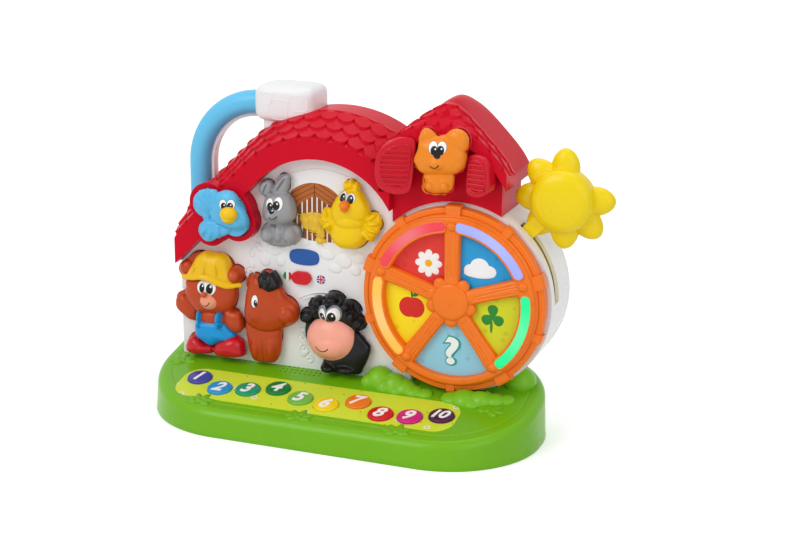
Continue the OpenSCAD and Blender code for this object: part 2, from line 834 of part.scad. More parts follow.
// Half of the main roof: its solid less its hollow, the house, the drum and the side house
module roof_half(profile, hollow) {
    difference() {
        intersection() {
            roof_solid(profile);
            translate([house_left, -far, tail_foot]) cube([2 * far, 2 * far, far]);
        }
        difference() {
            intersection() {
                roof_solid(hollow);
                translate([house_left + house_wall, -far, tail_foot + house_wall])
                    cube([2 * far, 2 * far, far]);
            }
            face_extrude(-far, far) house_outline(roof_gap + house_wall);
            face_extrude(-far, far) side_outline(roof_gap + house_wall);
            drum_room(roof_gap + house_wall);
        }
        face_extrude(-far, far) house_outline(roof_gap);
        drum_room(roof_gap);
        face_extrude(-far, far) side_outline(roof_gap);
    }
}

// Red front half of the roof with the shingled slope and the bird's bracket
module roof_front() {
    color("crimson") difference() {
        union() {
            roof_half([[roof_front_y, roof_front_r], [roof_seam_y, roof_r]],
                [[roof_front_y + house_wall, roof_front_r - house_wall],
                    [roof_seam_y + 1, roof_r - house_wall]]);
            face_extrude(roof_front_y - bracket_rise, house_front_y - roof_gap)
                lobe_outline(bird_lobes, bird_margin);
        }
        bird_pocket();
        face_extrude(-far, side_front_y + gap)
            translate([shutter_left_x - shutter_left_w - gap, shutter_foot - gap])
                square([shutter_left_w, far]);
    }
}

// Red smooth back half of the roof
module roof_back() {
    start = roof_seam_y + gap;
    bend = roof_back_y - roof_round;
    low_r = roof_r - roof_round / 2;
    color("crimson") roof_half([[start, roof_r], [bend, roof_r], [roof_back_y, low_r]],
        [[start - 1, roof_r - house_wall], [bend, roof_r - house_wall],
            [roof_back_y - house_wall, low_r - house_wall]]);
}

// White chimney with its heavy cap, standing on the roof
module chimney() {
    stack_w = cap_w - 2 * stack_inset;
    stack_d = cap_d - 2 * stack_inset;
    color("whitesmoke") difference() {
        translate([chimney_x, handle_y, 0]) {
            translate([0, 0, chimney_top - cap_h]) linear_extrude(cap_h)
                rounded_rect(cap_w, cap_d, cap_corner_r);
            translate([0, 0, arch_z]) linear_extrude(chimney_top - cap_h - arch_z)
                rounded_rect(stack_w, stack_d, stack_corner_r);
        }
        roof_solid([[-far, roof_r + roof_gap], [far, roof_r + roof_gap]]);
    }
}

// Whole tube of the handle, from the chimney cap round to the roof
module handle_tube() {
    difference() {
        translate([handle_x, handle_y, handle_z]) rotate([90, 0, 0]) {
            rotate([0, 0, 90]) rotate_extrude(angle = 90) translate([handle_bend_r, 0]) circle(handle_r);
            translate([-handle_bend_r, 0, 0]) rotate([90, 0, 0])
                cylinder(r = handle_r, h = handle_z - tail_foot);
            translate([0, handle_bend_r, 0]) rotate([0, 90, 0])
                cylinder(r = handle_r, h = chimney_x - cap_w / 2 - handle_x);
        }
        roof_solid([[-far, roof_r + roof_gap], [far, roof_r + roof_gap]]);
    }
}

// Blue front half of the handle
module handle_front() {
    color("deepskyblue") intersection() {
        handle_tube();
        translate([-far, handle_y - far, 0]) cube([2 * far, far, far]);
    }
}

// White back half of the handle
module handle_back() {
    color("whitesmoke") intersection() {
        handle_tube();
        translate([-far, handle_y + fine_gap, 0]) cube([2 * far, far, far]);
    }
}

// Brown hayloft panel let into the house front
module hayloft_panel() {
    color("sienna") difference() {
        face_extrude(house_front_y, house_front_y + loft_t) loft_outline(0);
        house_openings();
    }
}

// Two flag roundels beside the language slide
module flag_labels() {
    color("white") for (x = flag_x) face_extrude(house_front_y - flag_t, house_front_y)
        translate([x, knob_pos[1]]) circle(flag_r);
}

// Red language slide: an oval knob, its stem and its foot behind the wall
module language_knob() {
    color("red") {
        face_extrude(house_front_y - gap - knob_rise, house_front_y - gap)
            translate(knob_pos) stadium(knob_l, knob_h, 0);
        face_extrude(house_front_y - gap - knob_rise / 2, button_foot_y)
            translate(knob_pos) circle(knob_stem_w / 2);
        face_extrude(house_inner_y + gap, button_foot_y) translate(knob_pos) stadium(knob_l, knob_h, 0);
    }
}

// Black power slide on the back: a block, its stem and its foot behind the wall
module power_knob() {
    inner = house_back_y - house_wall - gap;
    color("dimgray") {
        face_extrude(house_back_y + gap, house_back_y + gap + knob_rise)
            translate(power_pos) square([power_w, power_h], center = true);
        face_extrude(inner - lip_t, house_back_y + gap + knob_rise / 2)
            translate(power_pos) circle(power_stem_w / 2);
        face_extrude(inner - lip_t, inner) translate(power_pos) square([power_w, power_h], center = true);
    }
}

module bird_button() { color("skyblue") animal(bird_lobes, house_front_y, house_inner_y, bird_rim); }
module rabbit_button() { color("gray") animal(rabbit_lobes, house_front_y, house_inner_y, animal_rim); }
module chick_button() { color("gold") animal(chick_lobes, house_front_y, house_inner_y, animal_rim); }
module bear_button() { color("sienna") animal(bear_lobes, house_front_y, house_inner_y, animal_rim); }
module horse_button() { color("chocolate") animal(horse_lobes, house_front_y, house_inner_y, animal_rim); }
module sheep_button() { color("black") animal(sheep_lobes, house_front_y, house_inner_y, animal_rim); }
module cat_button() { color("darkorange") animal(cat_lobes, side_front_y, cat_inner_y, animal_rim); }

// Outline of the board behind the house animals, with holes of the given radius round the screw posts
module house_board_outline(hole_r) {
    difference() {
        intersection() {
            house_outline(-house_wall - gap);
            translate([-far, board_foot]) square([far + board_right, board_top - board_foot]);
        }
        for (p = house_screws) translate(p) circle(hole_r);
        translate(wheel) circle(drum_r + 2 * gap);
    }
}

// Outline of the small board behind the cat, reaching m past its posts
module cat_board_outline(m) {
    low = cat_posts[0];
    translate([low[0] - m, low[1] - m])
        square([cat_posts[1][0] - low[0] + 2 * m, cat_posts[2][1] - low[1] + 2 * m]);
}

// Rubber mats with a dome behind each animal's body
module button_mat() {
    color("lightgray") {
        face_extrude(button_mat_y, button_board_y) house_board_outline(shoulder_r + gap);
        for (lobes = house_animals) face_extrude(button_foot_y + gap, button_board_y)
            translate([lobes[0][0], lobes[0][1]]) circle(button_dome_r);
        face_extrude(cat_mat_y, cat_board_y) cat_board_outline(-cat_post_r - gap);
        face_extrude(cat_foot_y + gap, cat_board_y)
            translate([cat_lobes[0][0], cat_dome_z]) circle(button_dome_r);
    }
}

// Circuit boards behind the mats
module button_board() {
    color("seagreen") {
        face_extrude(button_board_y, button_board_y + board_t) house_board_outline(boss_r + gap);
        face_extrude(cat_board_y, cat_board_y + board_t) cat_board_outline(cat_post_r);
    }
}

// Openings of the four light windows, grown by g
module light_openings(g) {
    for (a = light_angles) light_shape(a, g);
}

// One curved light window about angle a, grown by g
module light_shape(a, g) {
    ring_sector(light_in_r - g, light_out_r + g, a - light_half - g, a + light_half + g);
}

// White drum with its front wall, the lever's slot and the front boss of the pin
module mill_drum() {
    color("whitesmoke") difference() {
        translate(wheel_place()) {
            difference() {
                face_extrude(drum_front_y, drum_back_y) circle(drum_r);
                face_extrude(drum_front_y + drum_wall, far) circle(drum_r - drum_wall);
                face_extrude(-far, far) light_openings(light_room);
                face_extrude(lever_y - slot_half, lever_y + slot_half)
                    ring_sector(shield_r + slot_play, drum_r + 1, lever_rest - lever_swing - slot_margin,
                        lever_rest + slot_margin);
            }
            face_extrude(drum_front_y + drum_wall / 2, lever_y - arm_t / 2 - gap) difference() {
                circle(pin_boss_r);
                circle(pin_r + pin_gap);
            }
            for (a = light_angles) face_extrude(drum_front_y + drum_wall / 2, led_board_y)
                rotate(a) translate([led_board_in_r + 6, 0]) circle(boss_r);
        }
        below_deck(0);
    }
}

// Middle of the wheel
function wheel_place() = [wheel_x, 0, wheel_z];

// White cover over the back of the drum, with the back boss of the pin
module drum_back() {
    color("whitesmoke") difference() {
        translate(wheel_place()) {
            face_extrude(drum_back_y + gap / 2, drum_back_y + gap / 2 + drum_wall) circle(drum_r);
            face_extrude(lever_y + arm_t / 2 + gap, drum_back_y + drum_wall / 2) difference() {
                circle(pin_boss_r);
                circle(pin_r + pin_gap);
            }
        }
        below_deck(0);
    }
}

// Orange wheel frame: five spokes, hub, rim and ten knuckles over the picture openings
module wheel_frame() {
    color("darkorange") translate(wheel_place()) {
        face_extrude(frame_front_y, frame_back_y) difference() {
            circle(wheel_r);
            difference() {
                union() {
                    circle(picture_r);
                    intersection() {
                        circle(low_picture_r);
                        wedge(spoke_angles[2], spoke_angles[3], 2 * wheel_r);
                    }
                }
                circle(hub_r + 1);
                spokes(wheel_r);
            }
            light_openings(light_room);
        }
        face_extrude(frame_front_y - rim_rise, frame_front_y) difference() {
            circle(wheel_r);
            circle(rim_in_r);
        }
        face_extrude(frame_front_y - spoke_rise, frame_front_y) spokes(rim_in_r + 1);
        translate([0, frame_front_y, 0]) rotate([90, 0, 0]) crowned_disc(hub_r, hub_rise - 1.5, 1.5);
        for (i = [0 : 9]) rotate([0, 18 + 36 * i, 0])
            translate([wheel_r - knuckle_r + 1, frame_front_y + 2, 0])
                rotate([90, 0, 0]) crowned_disc(knuckle_r, knuckle_rise, 2);
    }
}

// Five spokes out to radius r
module spokes(r) {
    for (a = spoke_angles) rotate(a) translate([0, -spoke_w / 2]) square([r, spoke_w]);
}

// Printed disc behind the wheel frame
module picture_disc() {
    start = frame_back_y + gap;
    color("gold") translate(wheel_place()) face_extrude(start, start + picture_t) difference() {
        circle(wheel_r - 4);
        light_openings(light_room);
        circle(pin_r);
    }
}

// One light window lens: a curved bar from the wheel's face back into the drum's front wall
module light_window(i, tint) {
    color(tint) translate(wheel_place()) face_extrude(frame_front_y + lens_sink, drum_front_y + lens_seat)
        light_shape(light_angles[i], 0);
}

// Ring-shaped circuit board with three lamps behind each light window
module led_board() {
    color("seagreen") translate(wheel_place()) {
        face_extrude(led_board_y, led_board_y + board_t) difference() {
            circle(led_board_out_r);
            circle(led_board_in_r);
        }
        for (a = light_angles, b = light_middles) rotate([0, -a - b, 0])
            translate([led_ring_r, led_board_y + board_t / 2, 0])
                rotate([90, 0, 0]) crowned_disc(led_r, board_t, 1);
    }
}

// Lever: hub on the pin, arm out through the slot, and the curved shield behind the slot
module lever_arm() {
    color("gold") translate(wheel_place()) {
        face_extrude(lever_y - arm_t / 2, lever_y + arm_t / 2) difference() {
            union() {
                circle(lever_hub_r);
                rotate(lever_rest) translate([0, -arm_w / 2])
                    square([sun_reach - sun_r + arm_into_sun, arm_w]);
                rotate(lever_rest) for (a = [4 - shield_half, shield_half - 4]) rotate(a)
                    translate([0, -web_w / 2]) square([shield_r - shield_t / 2, web_w]);
            }
            circle(pin_r + pin_gap);
        }
        face_extrude(lever_y - shield_half_y, lever_y + shield_half_y)
            ring_sector(shield_r - shield_t, shield_r, lever_rest - shield_half, lever_rest + shield_half);
    }
}

// Steel pin that the lever turns on
module lever_pin() {
    color("silver") translate(wheel_place())
        face_extrude(drum_front_y + drum_wall, drum_back_y) circle(pin_r);
}

// Return spring: close coils round the back boss
module lever_spring() {
    coil_r = pin_boss_r + spring_wire_r + spring_gap;
    color("silver") translate([wheel_x, lever_y + arm_t / 2 + spring_gap, wheel_z]) rotate([-90, 0, 0])
        rotate_extrude() for (i = [0 : 3])
            translate([coil_r, spring_wire_r * (1 + 1.8 * i)]) circle(spring_wire_r, $fn = 24);
}

// Outline of the sun: a disc with seven round-tipped rays, the arm taking the place of the eighth
module sun_outline() {
    circle(sun_r);
    for (i = [1 : sun_ray_count]) rotate(lever_rest + 180 + 360 / (sun_ray_count + 1) * i) {
        translate([sun_r + ray_len - ray_tip_r, 0]) circle(ray_tip_r);
        polygon([[sun_r - ray_r, -ray_r], [sun_r + ray_len - ray_tip_r, -ray_tip_r],
            [sun_r + ray_len - ray_tip_r, ray_tip_r], [sun_r - ray_r, ray_r]]);
    }
}

// Half of the sun between two depths, with the socket for the arm
module sun_half(y0, y1) {
    translate(wheel_place()) difference() {
        face_extrude(y0, y1) sun_place() sun_outline();
        face_extrude(max(y0, lever_y - sun_t / 2 + sun_wall), min(y1, lever_y + sun_t / 2 - sun_wall))
            sun_place() circle(sun_r - sun_wall - arm_into_sun);
        face_extrude(lever_y - arm_t / 2 - fine_gap, lever_y + arm_t / 2 + fine_gap) rotate(lever_rest)
            translate([0, -arm_w / 2 - fine_gap])
                square([sun_reach - sun_r + arm_into_sun + fine_gap, arm_w + 2 * fine_gap]);
    }
}

// Moves an outline to the sun's place at rest
module sun_place() {
    translate(sun_reach * [cos(lever_rest), sin(lever_rest)]) children();
}

// Front half of the sun with its domed face
module sun_front() {
    color("gold") {
        sun_half(lever_y - sun_t / 2 + sun_dome_h, lever_y - sun_split);
        translate(wheel_place() + sun_reach * [cos(lever_rest), 0, sin(lever_rest)])
            translate([0, lever_y - sun_t / 2 + sun_dome_h, 0])
                rotate([90, 0, 0]) crown(sun_r - crown_ledge, sun_dome_h);
    }
}

// Back half of the sun
module sun_back() {
    color("gold") sun_half(lever_y + sun_split, lever_y + sun_t / 2);
}

// Outline of the side house's walls under its roof
module side_wall_outline(g) {
    drop = (ridge_r - side_roof_t - roof_gap + g);
    left_top = ridge_z + drop / cos(side_slope_left);
    right_top = ridge_z + drop / cos(side_slope_right);
    polygon([[side_left - g, side_foot],
        [side_left - g, left_top - (ridge_x - side_left + g) * tan(side_slope_left)],
        [ridge_x, min(left_top, right_top)],
        [side_right + g, right_top - (side_right + g - ridge_x) * tan(side_slope_right)],
        [side_right + g, side_foot]]);
}

// Red side house on top of the drum, with the cat's opening
module side_house() {
    color("crimson") difference() {
        face_extrude(side_front_y, side_back_y) side_wall_outline(0);
        difference() {
            face_extrude(cat_inner_y, side_back_y - house_wall) side_wall_outline(-house_wall);
            for (p = cat_posts) face_extrude(0, cat_board_y) translate(p) circle(cat_post_r);
        }
        face_extrude(-far, cat_mat_y) lobe_outline(cat_lobes, button_gap);
        drum_room(roof_gap);
    }
}

// Red side roof: two slopes that meet in a round ridge
module side_roof() {
    color("crimson") difference() {
        face_extrude(side_front_y - side_overhang, side_back_y + 2) side_slopes(-side_roof_t, 0);
        face_extrude(-far, far) side_wall_outline(roof_gap);
    }
}

// Two ribbed shutters that stand open beside the cat
module shutters() {
    under = ridge_r - side_roof_t - gap;
    color("crimson") difference() {
        union() {
            translate([shutter_left_x, side_front_y, shutter_foot])
                shutter(-1, shutter_left_w, shutter_left_h);
            translate([shutter_right_x, side_front_y, shutter_foot])
                shutter(1, shutter_right_w, shutter_right_h);
        }
        face_extrude(-far, far) translate(ridge) {
            rotate(side_slope_left) translate([-far, under]) square([far, far]);
            rotate(-side_slope_right) translate([0, under]) square([far, far]);
        }
        face_extrude(-far, far) lobe_outline(cat_lobes, button_gap);
    }
}

// One shutter with its inner edge on the origin: it runs w to the given side, h high,
// with its outer edge swung forward and level ribs across its face
module shutter(side, w, h) {
    reach = w * tan(shutter_open);
    rib = shutter_pitch / 2;
    linear_extrude(h) polygon([[0, 0], [side * w, 0], [side * w, -shutter_t - reach], [0, -shutter_t]]);
    for (z = [shutter_rim : shutter_pitch : h - shutter_rim - rib]) translate([0, -shutter_t, z])
        rotate([0, 0, -side * shutter_open])
            translate([side > 0 ? shutter_rim : shutter_rim - w, -rib_rise, 0])
                cube([w - 2 * shutter_rim, 2 * rib_rise, rib]);
}

base_tub();
base_plate();
keypad_panel();
number_key(0, "darkslateblue");  // number_key_1
number_key(1, "dodgerblue");  // number_key_2
number_key(2, "teal");  // number_key_3
number_key(3, "darkgreen");  // number_key_4
number_key(4, "yellowgreen");  // number_key_5
number_key(5, "gold");  // number_key_6
number_key(6, "darkorange");  // number_key_7
number_key(7, "crimson");  // number_key_8
number_key(8, "mediumvioletred");  // number_key_9
number_key(9, "indigo");  // number_key_10
key_mat();
key_board();
speaker();
battery_door();
batteries();
battery_contacts();
case_screws();
house_front();
house_back();
hayloft_panel();
flag_labels();
language_knob();
power_knob();
roof_front();
roof_back();
chimney();
handle_front();
handle_back();
bird_button();
rabbit_button();
chick_button();
bear_button();
horse_button();
sheep_button();
cat_button();
button_mat();
button_board();
mill_drum();
drum_back();
wheel_frame();
picture_disc();
light_window(0, "red");  // light_red
light_window(1, "royalblue");  // light_blue
light_window(2, "springgreen");  // light_green
light_window(3, "orange");  // light_amber
led_board();
lever_arm();
lever_pin();
lever_spring();
sun_front();
sun_back();
side_house();
side_roof();
shutters();
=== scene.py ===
"""Seen surfaces of a talking farm playset, worked out in the frame of its solids.

Lengths are in millimetres until a mesh is made.
"""

import math

import bmesh
import bpy
import numpy as np
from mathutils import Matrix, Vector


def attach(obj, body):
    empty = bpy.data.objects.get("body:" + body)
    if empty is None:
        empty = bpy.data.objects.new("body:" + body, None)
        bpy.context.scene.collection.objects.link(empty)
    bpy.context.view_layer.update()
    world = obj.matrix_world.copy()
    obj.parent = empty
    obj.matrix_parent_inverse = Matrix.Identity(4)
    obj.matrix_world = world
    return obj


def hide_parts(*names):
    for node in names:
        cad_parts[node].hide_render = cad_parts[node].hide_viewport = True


bl_info = {
    "name": "Talking farm playset",
    "version": (1, 0, 0),
    "blender": (4, 5, 0),
    "location": "3D View > Sidebar > Farm",
    "description": "Builds the seen pieces of a toy farm over its packed frame",
    "category": "Add Mesh",
}

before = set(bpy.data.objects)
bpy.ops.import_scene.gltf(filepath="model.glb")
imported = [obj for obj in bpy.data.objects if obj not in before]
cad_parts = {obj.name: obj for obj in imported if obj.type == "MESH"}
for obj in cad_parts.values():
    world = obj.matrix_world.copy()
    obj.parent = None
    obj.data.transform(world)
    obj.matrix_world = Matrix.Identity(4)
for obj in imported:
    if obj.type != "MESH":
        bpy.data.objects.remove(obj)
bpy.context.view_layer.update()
MM = 0.001

DECK_TURN = math.radians(10.5)
DECK_COS, DECK_SIN, DECK_TAN = math.cos(DECK_TURN), math.sin(DECK_TURN), math.tan(DECK_TURN)
DECK_FRONT_Y, DECK_FRONT_Z = -80.0, 22.0
KEY_X = [-114.8 + 24.4 * i for i in range(10)]
KEY_UP = [49.5, 37.5, 41.5, 49.5, 39.5, 35.5, 46.5, 33.5, 35.5, 43.5]
ARCH_X, ARCH_Z = -18.0, 151.0
WHEEL_X, WHEEL_Z = 101.0, 118.0
SUN_X, SUN_Y, SUN_Z = 184.0, 21.0, 204.0
WALL_Y = 8.0
PLUGS = {
    "bird": [(-90, 165, 12), (-97, 173, 16), (-117, 179, 12), (-110, 171, 11), (-115, 156, 9.5),
             (-107, 161, 9), (-100, 169, 7)],
    "rabbit": [(-54, 158, 14), (-55, 178, 15), (-63, 155, 9.5), (-45, 156.5, 9.5), (-66, 194, 7.5),
               (-61, 188, 7), (-55, 191, 6.5), (-52.5, 198, 6.5), (-51, 203, 5)],
    "chick": [(9, 165.5, 16.5), (9, 185.5, 14), (9, 175.5, 14), (9, 201.5, 6.5), (-12, 171.5, 6.5),
              (-7, 167.5, 8), (25, 171.5, 8), (31, 172.5, 5.5), (29, 178.5, 4.5)],
    "bear": [(-117, 68, 17), (-119, 98, 23), (-129, 119, 14), (-112, 119, 14), (-143, 116, 8),
             (-96, 116, 8), (-118, 59, 14), (-147, 89, 7), (-141, 83, 8), (-134, 77, 8), (-101, 77, 8),
             (-96, 72, 6.5), (-135, 49.5, 9), (-126, 49, 8), (-110, 49, 8.5), (-101, 49.5, 9.5)],
    "horse": [(-70, 66, 15.5), (-70, 98, 17), (-63, 93, 16), (-51, 90, 12), (-58, 85, 12), (-67, 115, 8),
              (-61.5, 110, 6), (-78, 110, 9), (-75, 86, 13.5), (-70, 54, 13.5)],
    "sheep": [(6.5, 60.5, 18), (-9.5, 74, 23), (-5.5, 100, 11), (-20.5, 96, 9), (8.5, 95, 10),
              (-30.5, 87, 6.5), (15.5, 86, 7), (-6.5, 49, 8), (0.5, 48, 8), (10.5, 49, 8.5)],
    "cat": [(83.5, 214, 11.5), (84.5, 233, 17.5), (71, 230, 8), (99, 230, 8), (74, 245, 6.5),
            (72.5, 250, 4), (97.5, 246, 8.5), (102.5, 245, 5.5), (77.5, 209, 6), (90.5, 209, 6)],
}


# Properties

def linear(code):
    """Linear colour of a six-digit screen colour"""
    part = np.array([int(code[i:i + 2], 16) for i in (0, 2, 4)]) / 255.0
    value = np.where(part <= 0.04045, part / 12.92, ((part + 0.055) / 1.055) ** 2.4)
    return tuple(float(v) for v in value)


def ink(code):
    """Linear colour of a six-digit screen colour, as a node takes it"""
    return (*linear(code), 1)


def colour(name, text, code):
    """A colour that a user would change"""
    return bpy.props.FloatVectorProperty(name=name, description=text, subtype="COLOR", size=3, min=0.0,
                                         max=1.0, default=linear(code))


def length(name, text, size):
    """A length that a user would change, given in millimetres and held in metres"""
    return bpy.props.FloatProperty(name=name, description=text, unit="LENGTH", min=0.0, default=size * MM)


class FarmSizes(bpy.types.PropertyGroup):
    """Sizes of the finer forms that lie on the solids"""
    tile_width: length("Tile width", "Width of one roof tile along the arch", 14.5)
    tile_step: length("Tile step", "Distance from one row of roof tiles to the next", 13.4)
    tile_rise: length("Tile rise", "Height of a roof tile's lower edge", 3.0)
    rim_round: length("Rim rounding", "Radius of the base's upper edge", 7.0)
    skin_voxel: length("Skin voxel", "Fineness of the fused animal skins", 0.7)
    bird_margin: length("Bird margin", "Red border of the roof round the bird", 5.0)


class FarmColours(bpy.types.PropertyGroup):
    """Colours of the moulded pieces and prints"""
    grass: colour("Grass", "Base and leaves", "72B610")
    bush: colour("Bush", "Bushes at the wheel's foot", "7CC01E")
    panel: colour("Panel", "Printed panel under the keys", "D2E63A")
    white: colour("White", "House, chimney and drum", "EDEDEE")
    roof: colour("Roof", "Roofs, side house and shutters", "CF1028")
    handle: colour("Handle", "Front half of the handle", "66C4EE")
    bird: colour("Bird", "Bird's feathers", "5CB9E6")
    beak: colour("Beak", "Bird's beak", "F0C312")
    rabbit: colour("Rabbit", "Rabbit's fur", "98999C")
    chick: colour("Chick", "Chick's down", "F2CA04")
    chick_beak: colour("Chick beak", "Chick's beak", "F0821E")
    bear: colour("Bear", "Bear's fur", "BE4418")
    ear: colour("Ear", "Bear's inner ear and nose", "C8552D")
    hat: colour("Hat", "Bear's hard hat", "F0BE10")
    muzzle: colour("Muzzle", "Bear's muzzle", "EE9C7A")
    dungarees: colour("Dungarees", "Bear's dungarees", "1496DC")
    shoes: colour("Shoes", "Bear's shoes", "CC1420")
    horse: colour("Horse", "Horse's coat", "BC4412")
    mane: colour("Mane", "Horse's forelock", "17181B")
    wool: colour("Wool", "Sheep's wool", "101114")
    face: colour("Face", "Sheep's face", "FAAA96")
    cat: colour("Cat", "Cat's fur", "F08A1C")
    wheel: colour("Wheel", "Wheel frame", "F47A1C")
    sun: colour("Sun", "Sun and its lever", "F2D50C")
    plate: colour("Plate", "Bare plate over the slide", "2458A6")
    knob: colour("Knob", "Language slide", "D20A1C")


KEY_CODES = ["4448A4", "2C96D0", "1E9A70", "0B7F3C", "7ABA4C", "F2D81A", "F07D22", "D01A2A", "D02080",
             "4E1844"]


def tone(name):
    """Chosen colour of one finish"""
    return tuple(getattr(bpy.context.scene.farm_colours, name))


def size(name):
    """Chosen length, in millimetres"""
    return getattr(bpy.context.scene.farm_sizes, name) / MM


# Surfaces

def grid_quads(rows, cols, wrap_rows=False, wrap_cols=False):
    """Four-cornered faces of a grid of points, closed on itself where asked"""
    r = np.arange(rows if wrap_rows else rows - 1)
    c = np.arange(cols if wrap_cols else cols - 1)
    a, b = np.meshgrid(r, c, indexing="ij")
    a2, b2 = (a + 1) % rows, (b + 1) % cols
    return np.stack([a * cols + b, a * cols + b2, a2 * cols + b2, a2 * cols + b], axis=-1).reshape(-1, 4)


def circle(count):
    """Angles once round, as one row"""
    return np.linspace(0, 2 * math.pi, count, endpoint=False)[None, :]


def points_at(x, y, z):
    """Points from three arrays laid over one another"""
    return np.stack(np.broadcast_arrays(x, y, z), axis=-1)


def faced(points, wrap_rows=False, wrap_cols=True):
    """Surface over a grid of points: the points in one list and the faces between them"""
    rows, cols = points.shape[:2]
    return points.reshape(-1, 3), grid_quads(rows, cols, wrap_rows, wrap_cols)


def swung(x, w, along, across, turn):
    """Points about (x, w) from their ways along and across an axis that is turned by so many degrees"""
    c, s = math.cos(math.radians(turn)), math.sin(math.radians(turn))
    return x + along * c - across * s, w + along * s + across * c


def directions(path):
    """Unit direction of a path at each of its points"""
    ahead = np.gradient(path, axis=0)
    return ahead / np.linalg.norm(ahead, axis=1, keepdims=True)


def joined(surfaces):
    """Several surfaces as one, their faces renumbered in turn"""
    surfaces = list(surfaces)
    starts = np.cumsum([0] + [len(p) for p, _ in surfaces[:-1]])
    return (np.concatenate([p for p, _ in surfaces]),
            np.concatenate([f + start for (_, f), start in zip(surfaces, starts)]))


def pillow(x, w, a, b, height, turn=0.0, foot=2.0, point=0.0, around=56, rings=14):
    """Dome on an oval foot: from crown to rim its radius goes as a sine and its height as a cosine, then a
    straight side goes down to a flat foot. point narrows the oval towards the +a end."""
    p = np.linspace(0, math.pi / 2, rings)
    rho = np.concatenate([np.sin(p), [1.0, 0.0]])[:, None]
    h = np.concatenate([height * np.cos(p), [-foot, -foot]])[:, None]
    t = circle(around)
    across = b * rho * np.sin(t) * (1 - point * np.cos(t))
    return faced(points_at(*swung(x, w, a * rho * np.cos(t), across, turn), h))


def bead(x, y, z, a, b, c, turn=0.0, point=0.0, around=48, rings=24):
    """Whole ellipsoid of half sizes a and b in the x-z plane and c along y, narrowed towards its +a end by
    point"""
    p = np.linspace(0, math.pi, rings)[:, None]
    t = circle(around)
    across = b * np.sin(p) * np.sin(t) * (1 - point * np.sin(p) * np.cos(t))
    at_x, at_z = swung(x, z, a * np.sin(p) * np.cos(t), across, turn)
    return faced(points_at(at_x, y - c * np.cos(p), at_z))


def turned(profile, x, w, around=72):
    """Profile of (radius, height) turned about an upright axis at (x, w)"""
    rho, h = np.array(profile, float).T[:, :, None]
    t = circle(around)
    return faced(points_at(x + rho * np.cos(t), w + rho * np.sin(t), h))


def drum(x, w, r, low, high, around=64):
    """Plain round column between two heights"""
    return turned([(0.0, high), (r, high), (r, low), (0.0, low)], x, w, around)


def tube(path, radius, sides=10):
    """Round tube along a path: at each point a circle square to the path's direction, its ends drawn to a
    point"""
    path = np.asarray(path, float)
    ahead = directions(path)
    up = np.where(np.abs(ahead[:, 1:2]) < 0.9, np.array([[0.0, 1.0, 0.0]]), np.array([[1.0, 0.0, 0.0]]))
    side = np.cross(ahead, up)
    side /= np.linalg.norm(side, axis=1, keepdims=True)
    up = np.cross(side, ahead)
    t = circle(sides)[..., None]
    ring = path[:, None] + radius * (side[:, None] * np.cos(t) + up[:, None] * np.sin(t))
    ends = [np.repeat(path[i][None, None], sides, axis=1) for i in (0, -1)]
    return faced(np.concatenate([ends[0], ring, ends[1]]))


def smooth_loop(points, count):
    """Closed curve through a few points: between two of them a cubic whose slopes come from their
    neighbours"""
    p = np.asarray(points, float)
    t = np.linspace(0, len(p), count, endpoint=False)
    i = np.floor(t).astype(int)
    f = (t - i)[:, None]
    a, b, c, d = (p[(i + k) % len(p)] for k in (-1, 0, 1, 2))
    return b + 0.5 * f * (c - a + f * (2 * a - 5 * b + 4 * c - d + f * (3 * (b - c) + d - a)))


def puff(points, height, foot=0.6, full=0.65, around=120, rings=16):
    """Cushion over an outline: each ring is the outline shrunk towards its middle by a sine and raised by a
    power of the cosine, then a straight side goes down to a flat foot"""
    edge = smooth_loop(points, around)
    p = np.linspace(0, math.pi / 2, rings)
    rho = np.concatenate([np.sin(p), [1.0, 0.0]])[:, None, None]
    h = np.concatenate([height * np.cos(p) ** full, [-foot, -foot]])[:, None, None]
    middle = edge.mean(axis=0)
    flat = middle + (edge - middle)[None] * rho
    return faced(np.concatenate([flat, np.broadcast_to(h, (*flat.shape[:2], 1))], axis=-1))


def swept(path, section):
    """Section of (sideways, y) carried along a path of (x, z), turned to stay square to it, its ends drawn
    to their middles"""
    path, section = np.asarray(path, float), np.asarray(section, float)
    ahead = directions(path)
    side = np.stack([-ahead[:, 1], ahead[:, 0]], axis=-1)
    flat = path[:, None] + side[:, None] * section[None, :, :1]
    ring = points_at(flat[..., 0], section[None, :, 1], flat[..., 1])
    ends = [np.broadcast_to(ring[i].mean(axis=0), (1, len(section), 3)) for i in (0, -1)]
    return faced(np.concatenate([ends[0], ring, ends[1]]))


def on_wall(surface, y):
    """A surface of (x, z, height) stood on a wall that faces the front"""
    p, f = surface
    return np.stack([p[:, 0], y - p[:, 2], p[:, 1]], axis=-1), f


def on_deck(surface):
    """A surface of (x, way up the deck, height) laid on the sloping deck"""
    p, f = surface
    y = DECK_FRONT_Y + p[:, 1] * DECK_COS - p[:, 2] * DECK_SIN
    z = DECK_FRONT_Z + p[:, 1] * DECK_SIN + p[:, 2] * DECK_COS
    return np.stack([p[:, 0], y, z], axis=-1), f


